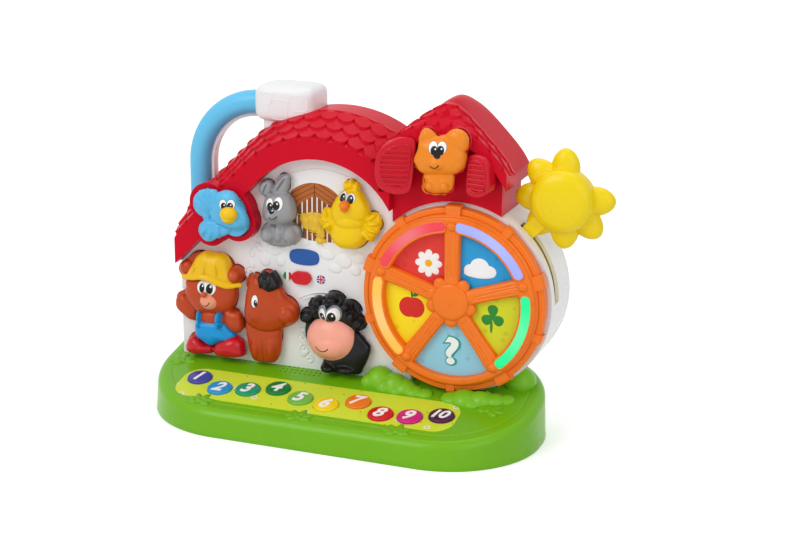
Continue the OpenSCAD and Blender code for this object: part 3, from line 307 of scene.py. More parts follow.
def to_mesh(name, surface):
    """Mesh in metres with its doubles merged and its faces turned outwards"""
    points, faces = surface
    mesh = bpy.data.meshes.new(name)
    mesh.vertices.add(len(points))
    mesh.vertices.foreach_set("co", (points * MM).astype(np.float32).ravel())
    mesh.loops.add(4 * len(faces))
    mesh.loops.foreach_set("vertex_index", faces.astype(np.int32).ravel())
    mesh.polygons.add(len(faces))
    mesh.polygons.foreach_set("loop_start", np.arange(0, 4 * len(faces), 4, dtype=np.int32))
    mesh.update(calc_edges=True)
    work = bmesh.new()
    work.from_mesh(mesh)
    bmesh.ops.remove_doubles(work, verts=work.verts, dist=2e-6)
    bmesh.ops.dissolve_degenerate(work, edges=work.edges, dist=1e-7)
    bmesh.ops.recalc_face_normals(work, faces=work.faces)
    work.to_mesh(mesh)
    work.free()
    return mesh


def shade(mesh, crease):
    """Smooth shading that keeps edges sharper than the crease angle"""
    mesh.polygons.foreach_set("use_smooth", np.ones(len(mesh.polygons), dtype=bool))
    mesh.set_sharp_from_angle(angle=math.radians(crease))


def baked(obj):
    """New mesh of an object with its modifiers or its font worked in"""
    graph = bpy.context.evaluated_depsgraph_get()
    return bpy.data.meshes.new_from_object(obj.evaluated_get(graph))


def settle(obj):
    """Applies an object's modifiers to its mesh"""
    done = baked(obj)
    old = obj.data
    obj.modifiers.clear()
    obj.data = done
    done.name = obj.name
    bpy.data.meshes.remove(old)


def shown(name, data):
    """An object in the scene, not yet riding on anything"""
    obj = bpy.data.objects.new(name, data)
    bpy.context.scene.collection.objects.link(obj)
    return obj


def loose(name, surface):
    """A worked-out surface as such an object"""
    return shown(name, to_mesh(name, surface))


def lettering(name, text, settings, place):
    """A figure or sign as such an object: the font's outline made a mesh, centred and put in place"""
    letters = bpy.data.curves.new(name, "FONT")
    letters.body = text
    letters.resolution_u = 8
    for label, value in settings.items():
        setattr(letters, label, value)
    holder = shown(name, letters)
    mesh = baked(holder)
    bpy.data.objects.remove(holder)
    bpy.data.curves.remove(letters)
    flat = np.zeros(3 * len(mesh.vertices), np.float32)
    mesh.vertices.foreach_get("co", flat)
    flat = flat.reshape(-1, 3).astype(float)
    flat[:, :2] -= (flat[:, :2].min(0) + flat[:, :2].max(0)) / 2
    mesh.vertices.foreach_set("co", (place(flat) * MM).astype(np.float32).ravel())
    mesh.update()
    return shown(name, mesh)


def fuse(obj, voxel, rounds):
    """Overlapping closed surfaces made one skin by voxels, then relaxed so that they flow together"""
    skin = obj.modifiers.new("fuse", "REMESH")
    skin.mode = "VOXEL"
    skin.voxel_size = voxel * MM
    if rounds:
        soft = obj.modifiers.new("relax", "SMOOTH")
        soft.factor = 0.5
        soft.iterations = rounds
    settle(obj)


def cut(obj, surface, voxel=0.0):
    """Takes a surface's inside out of an object"""
    tool = loose("cutter", surface)
    if voxel:
        fuse(tool, voxel, 2)
    knife = obj.modifiers.new("cut", "BOOLEAN")
    knife.operation = "DIFFERENCE"
    knife.solver = "EXACT"
    knife.object = tool
    settle(obj)
    mesh = tool.data
    bpy.data.objects.remove(tool)
    bpy.data.meshes.remove(mesh)


def finished(obj, material, body, stands_for=(), crease=42):
    """A made object given its finish, its body and the solids that it stands for"""
    obj.data.materials.clear()
    obj.data.materials.append(material)
    shade(obj.data, crease)
    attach(obj, body)
    if stands_for:
        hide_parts(*stands_for)
    return obj


def piece(name, surface, material, body, stands_for=(), crease=42):
    """A worked-out surface as a finished piece"""
    return finished(loose(name, surface), material, body, stands_for, crease)


def paint(material, *nodes):
    """Gives solids that keep their shape a finish"""
    for node in nodes:
        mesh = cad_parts[node].data
        mesh.materials.clear()
        mesh.materials.append(material)


# Finishes

def new_group(name, inputs, outputs):
    """An empty shader group with named sockets, and its two end nodes"""
    group = bpy.data.node_groups.new(name, "ShaderNodeTree")
    for label, kind, value in inputs:
        socket = group.interface.new_socket(label, in_out="INPUT", socket_type=kind)
        socket.default_value = value
    for label, kind in outputs:
        group.interface.new_socket(label, in_out="OUTPUT", socket_type=kind)
    return group, group.nodes.new("NodeGroupInput"), group.nodes.new("NodeGroupOutput")


class Wires:
    """Short way to lay nodes in a tree"""

    def __init__(self, tree):
        self.tree = tree

    def put(self, socket, value):
        """Links a socket, or sets a plain value"""
        if isinstance(value, bpy.types.NodeSocket):
            self.tree.links.new(value, socket)
        else:
            socket.default_value = value

    def math(self, operation, a, b=0.0, c=0.0):
        """One sum of up to three values"""
        node = self.tree.nodes.new("ShaderNodeMath")
        node.operation = operation
        for socket, value in zip(node.inputs, (a, b, c)):
            self.put(socket, value)
        return node.outputs[0]

    def step(self, value, low, high):
        """Smooth step from 0 at low to 1 at high"""
        node = self.tree.nodes.new("ShaderNodeMapRange")
        node.interpolation_type = "SMOOTHSTEP"
        for label, item in (("Value", value), ("From Min", low), ("From Max", high)):
            self.put(node.inputs[label], item)
        return node.outputs["Result"]

    def blend(self, factor, a, b):
        """Mix of two colours"""
        node = self.tree.nodes.new("ShaderNodeMix")
        node.data_type = "RGBA"
        for index, item in ((0, factor), (6, a), (7, b)):
            self.put(node.inputs[index], item)
        return node.outputs[2]

    def noise(self, where, scale, detail=2.0):
        """Value of a noise"""
        node = self.tree.nodes.new("ShaderNodeTexNoise")
        self.put(node.inputs["Vector"], where)
        self.put(node.inputs["Scale"], scale)
        node.inputs["Detail"].default_value = detail
        return node.outputs["Fac"]

    def cells(self, scale, randomness=1.0, flat=False):
        """Distance from the middle of a Voronoi cell, and that cell's random value"""
        node = self.tree.nodes.new("ShaderNodeTexVoronoi")
        node.voronoi_dimensions = "2D" if flat else "3D"
        node.inputs["Scale"].default_value = scale
        node.inputs["Randomness"].default_value = randomness
        self.put(node.inputs["Vector"], self.place()[0])
        pick = self.tree.nodes.new("ShaderNodeSeparateColor")
        self.put(pick.inputs[0], node.outputs["Color"])
        return node.outputs["Distance"], pick.outputs[0]

    def seen(self):
        """1 for rays from the camera, a mirror or glass, 0 for others"""
        path = self.tree.nodes.new("ShaderNodeLightPath")
        bounced = self.math("MAXIMUM", path.outputs["Is Glossy Ray"], path.outputs["Is Transmission Ray"])
        return self.math("MAXIMUM", path.outputs["Is Camera Ray"], bounced)

    def place(self):
        """Object coordinates, whole and as x, y and z in millimetres"""
        node = self.tree.nodes.new("ShaderNodeTexCoord")
        scaled = self.tree.nodes.new("ShaderNodeVectorMath")
        scaled.operation = "SCALE"
        scaled.inputs["Scale"].default_value = 1 / MM
        self.tree.links.new(node.outputs["Object"], scaled.inputs[0])
        split = self.tree.nodes.new("ShaderNodeSeparateXYZ")
        self.tree.links.new(scaled.outputs[0], split.inputs[0])
        return node.outputs["Object"], split.outputs[0], split.outputs[1], split.outputs[2]

    def offset(self, x, z):
        """Ways in x and z from a point to the surface, in millimetres"""
        _, at_x, _, at_z = self.place()
        return self.math("SUBTRACT", at_x, x), self.math("SUBTRACT", at_z, z)

    def distance(self, a, b):
        """Length of a way from its two parts"""
        return self.math("SQRT", self.math("ADD", self.math("MULTIPLY", a, a), self.math("MULTIPLY", b, b)))

    def group(self, tree, **values):
        """A placed group with its values"""
        node = self.tree.nodes.new("ShaderNodeGroup")
        node.node_tree = tree
        for label, value in values.items():
            self.put(node.inputs[label.replace("_", " ").title()], value)
        return node


def make_moulded_skin():
    """Moulded plastic: patchy tone from a slow noise, uneven gloss from the same, fine grain from a quick
    one"""
    group, given, out = new_group(
        "moulded_skin",
        [("Colour", "NodeSocketColor", (0.5, 0.5, 0.5, 1)), ("Spread", "NodeSocketFloat", 0.06),
         ("Patch", "NodeSocketFloat", 22.0), ("Grain", "NodeSocketFloat", 900.0),
         ("Gloss", "NodeSocketFloat", 0.3), ("Gloss Spread", "NodeSocketFloat", 0.1)],
        [("Colour", "NodeSocketColor"), ("Roughness", "NodeSocketFloat"), ("Height", "NodeSocketFloat")])
    w = Wires(group)
    where = w.place()[0]
    slow = w.math("SUBTRACT", w.noise(where, given.outputs["Patch"], 3.0), 0.5)
    tint = group.nodes.new("ShaderNodeHueSaturation")
    w.put(tint.inputs["Color"], given.outputs["Colour"])
    w.put(tint.inputs["Value"], w.math("MULTIPLY_ADD", slow, given.outputs["Spread"], 1.0))
    w.put(out.inputs["Colour"], tint.outputs["Color"])
    w.put(out.inputs["Roughness"], w.math("MULTIPLY_ADD", slow, given.outputs["Gloss Spread"],
                                          given.outputs["Gloss"]))
    w.put(out.inputs["Height"], w.noise(where, given.outputs["Grain"], 2.0))
    return group


def make_oval_mark():
    """Print of a turned oval: 1 inside, 0 outside, by the distance in units of its two half sizes"""
    group, given, out = new_group(
        "oval_mark",
        [(label, "NodeSocketFloat", value) for label, value in
         (("X", 0.0), ("Z", 0.0), ("Half Width", 1.0), ("Half Height", 1.0), ("Turn", 0.0), ("Edge", 0.06))],
        [("Mask", "NodeSocketFloat")])
    w = Wires(group)
    dx, dz = w.offset(given.outputs["X"], given.outputs["Z"])
    turn = w.math("RADIANS", given.outputs["Turn"])
    c, s = w.math("COSINE", turn), w.math("SINE", turn)
    along = w.math("ADD", w.math("MULTIPLY", dx, c), w.math("MULTIPLY", dz, s))
    across = w.math("SUBTRACT", w.math("MULTIPLY", dz, c), w.math("MULTIPLY", dx, s))
    far = w.distance(w.math("DIVIDE", along, given.outputs["Half Width"]),
                     w.math("DIVIDE", across, given.outputs["Half Height"]))
    edge = given.outputs["Edge"]
    w.put(out.inputs["Mask"], w.step(far, w.math("ADD", edge, 1.0), w.math("SUBTRACT", 1.0, edge)))
    return group


def make_arc_mark():
    """Print of a thin arc: near one radius, and only on the side of the centre that turn points to"""
    group, given, out = new_group(
        "arc_mark",
        [(label, "NodeSocketFloat", value) for label, value in
         (("X", 0.0), ("Z", 0.0), ("Radius", 4.0), ("Line", 0.4), ("Turn", -90.0), ("Reach", 0.5))],
        [("Mask", "NodeSocketFloat")])
    w = Wires(group)
    dx, dz = w.offset(given.outputs["X"], given.outputs["Z"])
    far = w.distance(dx, dz)
    off = w.math("ABSOLUTE", w.math("SUBTRACT", far, given.outputs["Radius"]))
    line = given.outputs["Line"]
    ring = w.step(off, w.math("MULTIPLY", line, 1.25), w.math("MULTIPLY", line, 0.75))
    turn = w.math("RADIANS", given.outputs["Turn"])
    aim = w.math("ADD", w.math("MULTIPLY", dx, w.math("COSINE", turn)),
                 w.math("MULTIPLY", dz, w.math("SINE", turn)))
    side = w.math("GREATER_THAN", w.math("DIVIDE", aim, w.math("MAXIMUM", far, 0.01)), given.outputs["Reach"])
    w.put(out.inputs["Mask"], w.math("MULTIPLY", ring, side))
    return group


def group_tree(name):
    """The shared group of that name, made on first use"""
    makers = {"moulded_skin": make_moulded_skin, "oval_mark": make_oval_mark, "arc_mark": make_arc_mark}
    return bpy.data.node_groups.get(name) or makers[name]()


BLACK, PAPER = linear("101012"), linear("F7F7F5")


def oval(tint, x, z, a, b, turn=0.0):
    """Printed oval"""
    return "oval_mark", tint, {"x": x, "z": z, "half_width": a, "half_height": b, "turn": turn}


def arc(tint, x, z, radius, line=0.4, turn=-90.0, reach=0.5):
    """Printed arc"""
    return "arc_mark", tint, {"x": x, "z": z, "radius": radius, "line": line, "turn": turn, "reach": reach}


def eye(x, z, a, b, look_x, look_z, pupil):
    """White of an eye with a fine dark rim, its pupil and a glint"""
    return [oval(BLACK, x, z, a + 0.3, b + 0.3), oval(PAPER, x, z, a, b),
            oval(BLACK, look_x, look_z, pupil * 1.22, pupil * 1.5),
            oval(PAPER, look_x + pupil * 0.35, look_z + pupil * 0.55, pupil * 0.28, pupil * 0.3)]


def plastic(name, tint, gloss=0.28, coat=0.10, spread=0.10, patch=22.0, grain=900.0, bump=0.03, marks=(),
            ground=None, shine=0.2):
    """Moulded plastic with prints: the skin group for tone, gloss and grain, then each mark mixed over the
    tone. ground may lay a pattern of its own between the two."""
    material = bpy.data.materials.new(name)
    material.use_nodes = True
    tree = material.node_tree
    shader = tree.nodes["Principled BSDF"]
    w = Wires(tree)
    skin = w.group(group_tree("moulded_skin"), colour=(*tint, 1), spread=spread, patch=patch, grain=grain,
                   gloss=gloss)
    tint_now = skin.outputs["Colour"]
    if ground:
        tint_now = ground(w, tint_now)
    for kind, mark_tint, values in marks:
        mark = w.group(group_tree(kind), **values)
        tint_now = w.blend(mark.outputs["Mask"], tint_now, (*mark_tint, 1))
    w.put(shader.inputs["Base Color"], tint_now)
    w.put(shader.inputs["Roughness"], skin.outputs["Roughness"])
    shader.inputs["Specular IOR Level"].default_value = shine
    shader.inputs["Coat Weight"].default_value = coat
    shader.inputs["Coat Roughness"].default_value = 0.12
    lump = tree.nodes.new("ShaderNodeBump")
    lump.inputs["Strength"].default_value = bump
    lump.inputs["Distance"].default_value = 0.0006
    w.put(lump.inputs["Height"], skin.outputs["Height"])
    w.put(shader.inputs["Normal"], lump.outputs["Normal"])
    return material


def metal(name, tint, gloss):
    """Plated metal: the skin group's tone and gloss on a metallic base"""
    material = plastic(name, tint, gloss=gloss, coat=0.0, spread=0.16, patch=240.0)
    material.node_tree.nodes["Principled BSDF"].inputs["Metallic"].default_value = 1.0
    return material


def lamp_window(name, tint, angle):
    """Tinted window that glows most at its middle, by the distance from a point at that angle on the wheel"""
    material = plastic(name, tint, gloss=0.18)
    tree = material.node_tree
    w = Wires(tree)
    lamp_r, dark_at, bright_at = 62, 26.0, 2.0
    far = w.distance(*w.offset(*swung(WHEEL_X, WHEEL_Z, lamp_r, 0, angle)))
    glow = w.step(far, dark_at, bright_at)
    shader = tree.nodes["Principled BSDF"]
    warm = tuple(min(1.0, 0.55 * c + 0.35) for c in tint)
    w.put(shader.inputs["Emission Color"], w.blend(glow, (*tint, 1), (*warm, 1)))
    shader.inputs["Emission Strength"].default_value = 0.35
    return material


def panel_daisies(w, tint):
    """Scattered daisies: in a few cells of a Voronoi pattern a pale disc round an ochre dot, in some others
    a seed"""
    far, pick = w.cells(78.0, 0.75, flat=True)
    few = w.math("GREATER_THAN", pick, 0.84)
    petal = w.math("MULTIPLY", w.step(far, 0.24, 0.19), few)
    heart = w.math("MULTIPLY", w.step(far, 0.09, 0.06), few)
    seed = w.math("MULTIPLY", w.step(far, 0.07, 0.05), w.math("LESS_THAN", pick, 0.25))
    tint = w.blend(seed, tint, ink("8CA81C"))
    tint = w.blend(petal, tint, ink("E9E9C8"))
    return w.blend(heart, tint, ink("B9B440"))


def loft_boards(w, tint):
    """Barn front: chevron boards above a slanting line, upright pale bars on brown below it"""
    middle_x, slope, board_step, bar_step, bar_start, eave_z = -24.5, 0.56, 4.4, 4.5, -60.5, 190.4
    _, x, _, z = w.place()
    off = w.math("ABSOLUTE", w.math("SUBTRACT", x, middle_x))
    rise = w.math("MULTIPLY_ADD", off, slope, z)
    board = w.math("FRACT", w.math("DIVIDE", rise, board_step))
    seam = w.math("ADD", w.step(board, 0.22, 0.10), w.step(off, 0.7, 0.3))
    top = w.blend(w.math("MINIMUM", seam, 1.0), ink("B4642A"), ink("6E3A14"))
    bar = w.math("FRACT", w.math("DIVIDE", w.math("SUBTRACT", x, bar_start), bar_step))
    bar = w.math("ABSOLUTE", w.math("SUBTRACT", bar, 0.5))
    low = w.blend(w.step(bar, 0.15, 0.11), ink("8A4A1E"), ink("F0EDE6"))
    return w.blend(w.step(rise, eave_z, eave_z + 0.5), low, top)


def card_sprigs(w, tint):
    """Faint sprigs on a picture card: dots of a sparse Voronoi pattern, a little darker than the card"""
    far, pick = w.cells(130.0)
    dot = w.math("MULTIPLY", w.step(far, 0.34, 0.26), w.math("GREATER_THAN", pick, 0.72))
    deep = w.tree.nodes.new("ShaderNodeHueSaturation")
    w.put(deep.inputs["Color"], tint)
    deep.inputs["Value"].default_value = 0.8
    return w.blend(w.math("MULTIPLY", dot, 0.7), tint, deep.outputs["Color"])


def wood_grain(w, tint):
    """Painted shade in the moulded grain: darker flecks where a noise runs high, standing in for the shadow
    that the grain holds
    """
    streak = w.step(w.noise(w.place()[0], 140.0, 4.0), 0.60, 0.72)
    return w.blend(w.math("MULTIPLY", streak, 0.25), tint, ink("D8560C"))


def roundel_bands(w, tint):
    """Left roundel: three upright bands; right roundel: a cross on a field, each by its own x"""
    between_x, green_to, red_from, cross_x, cross_z = -35.0, -50.7, -48.3, -19.0, 119.0
    _, x, _, z = w.place()
    left, right = w.math("LESS_THAN", x, between_x), w.math("GREATER_THAN", x, between_x)
    green = w.math("MULTIPLY", left, w.math("LESS_THAN", x, green_to))
    red = w.math("MULTIPLY", left, w.math("GREATER_THAN", x, red_from))
    arm = w.math("MINIMUM", w.math("ABSOLUTE", w.math("SUBTRACT", x, cross_x)),
                 w.math("ABSOLUTE", w.math("SUBTRACT", z, cross_z)))
    field = w.math("MULTIPLY", right, w.math("GREATER_THAN", arm, 1.2))
    cross = w.math("MULTIPLY", right, w.math("LESS_THAN", arm, 0.7))
    tint = w.blend(green, tint, ink("1F8A4C"))
    tint = w.blend(red, tint, ink("CE2A34"))
    tint = w.blend(field, tint, ink("24409A"))
    return w.blend(cross, tint, ink("CE2A34"))


# Base

SPEAKER_STEP = 4.4


def base_outline(count):
    """Points round the base's plan and their outward directions: four corner arcs joined by straights,
    evenly spread"""
    corners = [(97, 0, 80, -90), (105, 8, 72, 0), (-135, 50, 30, 90), (-81, 4, 84, 180)]
    sweep = np.radians(np.linspace(0, 90, 61))[None, :] + np.radians([[c[3]] for c in corners])
    middle = np.array([c[:2] for c in corners], float)[:, None, :]
    radius = np.array([c[2] for c in corners], float)[:, None, None]
    out = np.stack([np.cos(sweep), np.sin(sweep)], axis=-1)
    points = (middle + radius * out).reshape(-1, 2)
    out = out.reshape(-1, 2)
    points, out = np.vstack([points, points[:1]]), np.vstack([out, out[:1]])
    walk = np.concatenate([[0.0], np.cumsum(np.linalg.norm(np.diff(points, axis=0), axis=1))])
    even = np.linspace(0, walk[-1], count, endpoint=False)
    return (np.stack([np.interp(even, walk, points[:, i]) for i in (0, 1)], -1),
            np.stack([np.interp(even, walk, out[:, i]) for i in (0, 1)], -1))


def base_shell():
    """Tub as rings round its plan: middle of the deck, a shallow groove inside the rim, the rounded rim,
    the drafted wall, its foot, the inner wall and the deck's underside back to the middle"""
    plan, out = base_outline(420)
    middle = np.array([0.0, -8.0])
    r = size("rim_round")

    def deck(at, drop):
        return np.column_stack([at, DECK_FRONT_Z + DECK_TAN * (at[:, 1] - DECK_FRONT_Y) - drop])

    def ring(inset, drop=0.0):
        return deck(plan - out * inset, drop)

    def foot(inset, low):
        return np.column_stack([plan - out * inset, np.full(len(plan), low)])

    def shrunk(edge, share, drop):
        return deck(middle + (edge[:, :2] - middle) * share, drop)

    inner = ring(16.0)
    rows = [shrunk(inner, s, 0.0) for s in np.linspace(0, 1, 12)]
    rows += [ring(15.2, drop=0.1), ring(14.5, drop=0.5), ring(13.8, drop=0.1), ring(13.0)]
    turn = np.linspace(math.pi / 2, 0, 12)
    rows += [ring(1.6 + r * (1 - math.cos(a)), drop=r * (1 - math.sin(a))) for a in turn]
    rows += [foot(inset, low) for inset, low in ((0.4, 5.0), (0.0, 1.2), (0.4, 0.2), (1.0, 0.0), (2.8, 0.0))]
    under = ring(4.0, drop=3.0)
    rows += [under] + [shrunk(under, s, 3.0) for s in np.linspace(1, 0, 8)[1:]]
    return faced(np.stack(rows))


def leaf_sprigs():
    """Sprigs lying on the rim: each a rosette of broad pointed pillows round a small heart"""
    spots = [(-143, 74, 20), (-99, 15, -10), (-8, 12, 0), (77, 12, 5), (138, 62, -30)]
    leaves = [(-15, 6.5, 5.4), (30, 7.5, 6.0), (78, 8, 6.4), (124, 7.5, 6.0), (170, 7, 5.6), (215, 5.5, 4.4)]
    made = []
    for x, up, lean in spots:
        for turn, far, half in leaves:
            a = math.radians(turn + lean)
            at_x, at_up = x + far * math.cos(a), up + 0.8 * far * math.sin(a)
            made.append(pillow(at_x, at_up, half, 3.3, 1.9, turn + lean, 1.0, 0.3, around=28, rings=8))
        made.append(pillow(x, up, 3.4, 3.0, 2.1, foot=1.0, around=24, rings=7))
    return on_deck(joined(made))


def bushes():
    """Low bushes at the wheel's foot: rows of round lumps on the deck"""
    lumps = [(37, 84, 13, 14), (51, 81, 11, 11), (29, 80, 8, 8), (44, 76, 9, 8), (61, 78, 10, 8),
             (70, 75, 8, 5), (55, 73, 7, 5), (80, 74, 7, 4), (103, 73, 9, 5), (115, 74, 13, 9),
             (128, 76, 11, 9), (122, 69, 8, 5), (139, 78, 9, 6), (148, 82, 7, 4), (150, 112, 14, 14)]
    return on_deck(joined(pillow(x, up, r, r, h, foot=2.5) for x, up, r, h in lumps))


class FARM_OT_base(bpy.types.Operator):
    """Green base with its rim, key holes, speaker holes, leaf sprigs, bushes and printed panel"""
    bl_idname = "farm.base"
    bl_label = "Base"

    def execute(self, context):
        grass = plastic("grass_gloss", tone("grass"), patch=14.0, bump=0.04)
        tub = loose("base_shell", base_shell())
        holes = [drum(x, up, 10.95, -9, 6) for x, up in zip(KEY_X, KEY_UP)]
        holes += [drum(-35 + SPEAKER_STEP * i, 84 + SPEAKER_STEP * j, 0.9, -9, 6, around=14)
                  for i in range(-4, 5) for j in range(-1, 2)]
        cut(tub, on_deck(joined(holes)))
        finished(tub, grass, "case", ("base_tub",), crease=35)
        piece("leaf_sprigs", leaf_sprigs(), grass, "case")
        bush = loose("bushes", bushes())
        fuse(bush, 0.8, 5)
        cut(bush, on_wall(drum(WHEEL_X, WHEEL_Z, 80.4, -60, 6.6, around=180), 0.0))
        finished(bush, plastic("bush_gloss", tone("bush"), patch=60.0), "case", crease=60)
        paint(grass, "base_plate", "battery_door")
        paint(plastic("panel_print", tone("panel"), gloss=0.38, coat=0.05, ground=panel_daisies),
              "keypad_panel")
        return {"FINISHED"}


# Keys

FIGURE_UP = 2.75


def key_cap(x, up):
    """Key turned from its profile: a low crown, a round lip, a straight side and a flat foot"""
    crown_r, lip_x, lip_z, lip_r, side_r, foot = 9.0, 9.3, 1.15, 1.3, 10.6, -4.1
    r = np.linspace(0, crown_r, 10)
    crown = np.stack([r, 2.35 + 0.75 * (1 - (r / crown_r) ** 2)], axis=-1)
    a = np.radians(np.linspace(90, 0, 7))
    lip = np.stack([lip_x + lip_r * np.cos(a), lip_z + lip_r * np.sin(a)], axis=-1)
    return on_deck(turned(np.vstack([crown, lip, [[side_r, foot], [0.0, foot]]]), x, up, around=96))


def numeral(name, text, x, up):
    """Slanted bold figure of the key, standing a little out of its crown"""
    alone = len(text) == 1
    settings = {"size": 18.0 if alone else 15.5, "space_character": 1.0 if alone else 0.92,
                "shear": 0.28, "offset": 0.42, "extrude": 0.55, "align_x": "CENTER"}
    middle = np.array([x, up, FIGURE_UP])
    return lettering(name, text, settings, lambda flat: on_deck((flat + middle, None))[0])


class FARM_OT_keys(bpy.types.Operator):
    """Ten round number keys with their figures"""
    bl_idname = "farm.keys"
    bl_label = "Number keys"

    def execute(self, context):
        figure = plastic("figure_white", PAPER, gloss=0.4, coat=0.1)
        for number, (x, up, code) in enumerate(zip(KEY_X, KEY_UP, KEY_CODES), 1):
            node, slot = "number_key_%d" % number, "key_%d" % number
            gloss = plastic("key_gloss_%d" % number, linear(code), gloss=0.22)
            piece("key_cap_%d" % number, key_cap(x, up), gloss, node, (node,))
            finished(numeral("figure_%d" % number, str(number), x, up), figure, node)
        return {"FINISHED"}


# House

def arc_line(x, z, radius, start, stop, thick, count=48):
    """Raised line along an arc on the wall"""
    a = np.radians(np.linspace(start, stop, count))
    return tube(points_at(x + radius * np.cos(a), WALL_Y, z + radius * np.sin(a)), thick)


def curl_line(x, z, radius, start, turns, thick, count=60):
    """Raised curl: an arc whose radius shrinks evenly to a quarter"""
    s = np.linspace(0, 1, count)
    a = np.radians(start) + 2 * math.pi * turns * s
    r = radius * (1 - 0.75 * s)
    return tube(points_at(x + r * np.cos(a), WALL_Y, z + r * np.sin(a)), thick)


def wall_relief():
    """Stones, arch lines and curls raised from the white front"""
    stones = [(-62, 141, 7, 5.5), (-70, 131, 5, 6), (-56, 131, 4.5, 4.5), (-13, 141, 7, 4.5),
              (2, 137, 7, 6), (-6, 130, 6, 4), (15, 141, 6, 5), (12, 130, 5, 4.5), (-36, 150, 7, 3.5),
              (-52, 144, 4, 4), (24, 131, 5, 6)]
    made = [on_wall(pillow(x, z, a, b, 1.1, foot=1.0, around=36, rings=8), WALL_Y) for x, z, a, b in stones]
    leaves = [(-34, 52, 5.0, 2.6, 40), (-27, 57, 5.0, 2.6, 130), (-36, 62, 5.0, 2.6, 150),
              (-28, 67, 5.0, 2.6, 60), (-35, 73, 4.5, 2.4, 30), (-79, 150, 5.0, 2.6, 60),
              (-76, 142, 5.0, 2.6, 120), (-82, 136, 4.5, 2.4, 80), (-83, 126, 4.5, 2.4, 110),
              (34, 118, 5.0, 2.6, 40), (28, 112, 5.0, 2.6, 120)]
    made += [on_wall(pillow(x, z, a, b, 1.1, turn, foot=1.0, point=0.3, around=36, rings=8), WALL_Y)
             for x, z, a, b, turn in leaves]
    arcs = [(ARCH_X, ARCH_Z, 62.5, 62, 116, 0.7), (-14, 62, 46, 38, 122, 0.9), (-14, 62, 43, 40, 120, 0.6)]
    made += [arc_line(x, z, r, start, stop, thick) for x, z, r, start, stop, thick in arcs]
    curls = [(-84, 118, 6, 90, 1.3, 0.9), (-84, 101, 5, -60, 1.3, 0.9), (-34, 55, 6, 30, 1.4, 0.9),
             (-27, 64, 4.5, 160, -1.3, 0.8), (-38, 66, 4, 0, 1.2, 0.8), (-30, 47, 4, 90, -1.2, 0.8)]
    made += [curl_line(x, z, r, start, turns, thick) for x, z, r, start, turns, thick in curls]
    return joined(made)


def straw_heap():
    """Heap of overlapping pillows running down from the loft"""
    lumps = [(-24, 171, 12, 6), (-32.2, 170.5, 6, 5), (-30, 165, 6, 4), (-15, 170, 6, 5), (-23, 165, 8, 5),
             (-19, 159, 4, 5), (-19, 153, 5.5, 2.6)]
    return on_wall(joined(pillow(x, z, a, b, 1.2, foot=0.8) for x, z, a, b in lumps), WALL_Y - 0.4)


def straw_stalks():
    """Short stalks strewn over the heap, each a thin tube between two points set by one seeded draw"""
    draw = np.random.default_rng(7)
    made = []
    for x, z, reach, count in ((-25, 170, 10, 38), (-22, 163, 6, 18), (-19, 154, 3, 10)):
        at = np.stack([x + reach * draw.uniform(-1, 1, count), z + 5 * draw.uniform(-1, 1, count)], axis=-1)
        turn = draw.uniform(0, math.pi, count)
        half = draw.uniform(2.0, 4.0, count)
        lift = draw.uniform(0.5, 1.2, count)
        s = np.linspace(-1, 1, 4)
        for (cx, cz), a, h, up in zip(at, turn, half, lift):
            y = WALL_Y - 0.6 - up + 0.3 * s ** 2
            path = points_at(cx + h * s * math.cos(a), y, cz + 0.6 * h * s * math.sin(a))
            made.append(tube(path, 0.42, sides=5))
    return joined(made)


class FARM_OT_house(bpy.types.Operator):
    """White house with its reliefs, hayloft, bare plate, roundels and slides"""
    bl_idname = "farm.house"
    bl_label = "House"

    def execute(self, context):
        white = plastic("house_white", tone("white"), gloss=0.3, spread=0.05)
        paint(white, "house_front", "house_back")
        piece("wall_relief", wall_relief(), white, "case")
        paint(plastic("loft_print", linear("8A4A1E"), gloss=0.4, coat=0.1, ground=loft_boards),
              "hayloft_panel")
        straw = plastic("straw_yellow", linear("E8BE3C"), gloss=0.45, coat=0.05, spread=0.5, patch=260.0)
        heap = loose("straw_heap", straw_heap())
        fuse(heap, 0.7, 3)
        finished(heap, straw, "case")
        piece("straw_stalks", straw_stalks(), straw, "case")
        edge = [(-46, 132.5), (-46, 141.5), (-34, 144), (-22, 141.5), (-22, 132.5), (-34, 130)]
        plate = on_wall(puff(edge, 1.4, foot=1.0, full=0.25), WALL_Y)
        piece("bare_plate", plate, plastic("plate_blue", tone("plate"), gloss=0.26), "case")
        paint(plastic("roundel_print", PAPER, gloss=0.4, ground=roundel_bands), "flag_labels")
        paint(plastic("slide_red", tone("knob"), gloss=0.16), "language_knob")
        paint(plastic("slide_dark", linear("1C1C1F"), gloss=0.4), "power_knob")
        return {"FINISHED"}


# Roofs

FASCIA_R, FASCIA_Y = 89, -4
ROOF_LEFT, ROOF_RIGHT = -149.9, 45.7
SIDE_LEFT, SIDE_RIGHT, SIDE_FRONT, SIDE_BACK = 37, 144, -6, 59


def scales(u, v, width, step, rise):
    """Height of overlapping round tiles: each tile is thickest at its scalloped lower edge and thins up to
    the next row, which is set over by half a tile; the step at an edge is softened"""
    scallop, soft, thinning, hollow = 0.62, 0.07, 0.62, 0.28
    row = np.floor(v / step)
    q = v / step - row

    def edge(shift):
        across = 2 * np.mod(u / width + shift, 1.0) - 1
        return scallop * (1 - np.sqrt(np.maximum(0.0, 1 - across ** 2))), across

    own, own_across = edge(0.5 * np.mod(row, 2))
    past, past_across = edge(0.5 * np.mod(row + 1, 2))
    mine = np.clip((q - own) / soft + 0.5, 0, 1)
    over = 1 - thinning * np.clip(q - own, 0, 1.6) - hollow * own_across ** 2
    under = np.where(row < 0.5, -0.25, 1 - thinning * (q + 1 - past) - hollow * past_across ** 2)
    return rise * (mine * over + (1 - mine) * under)


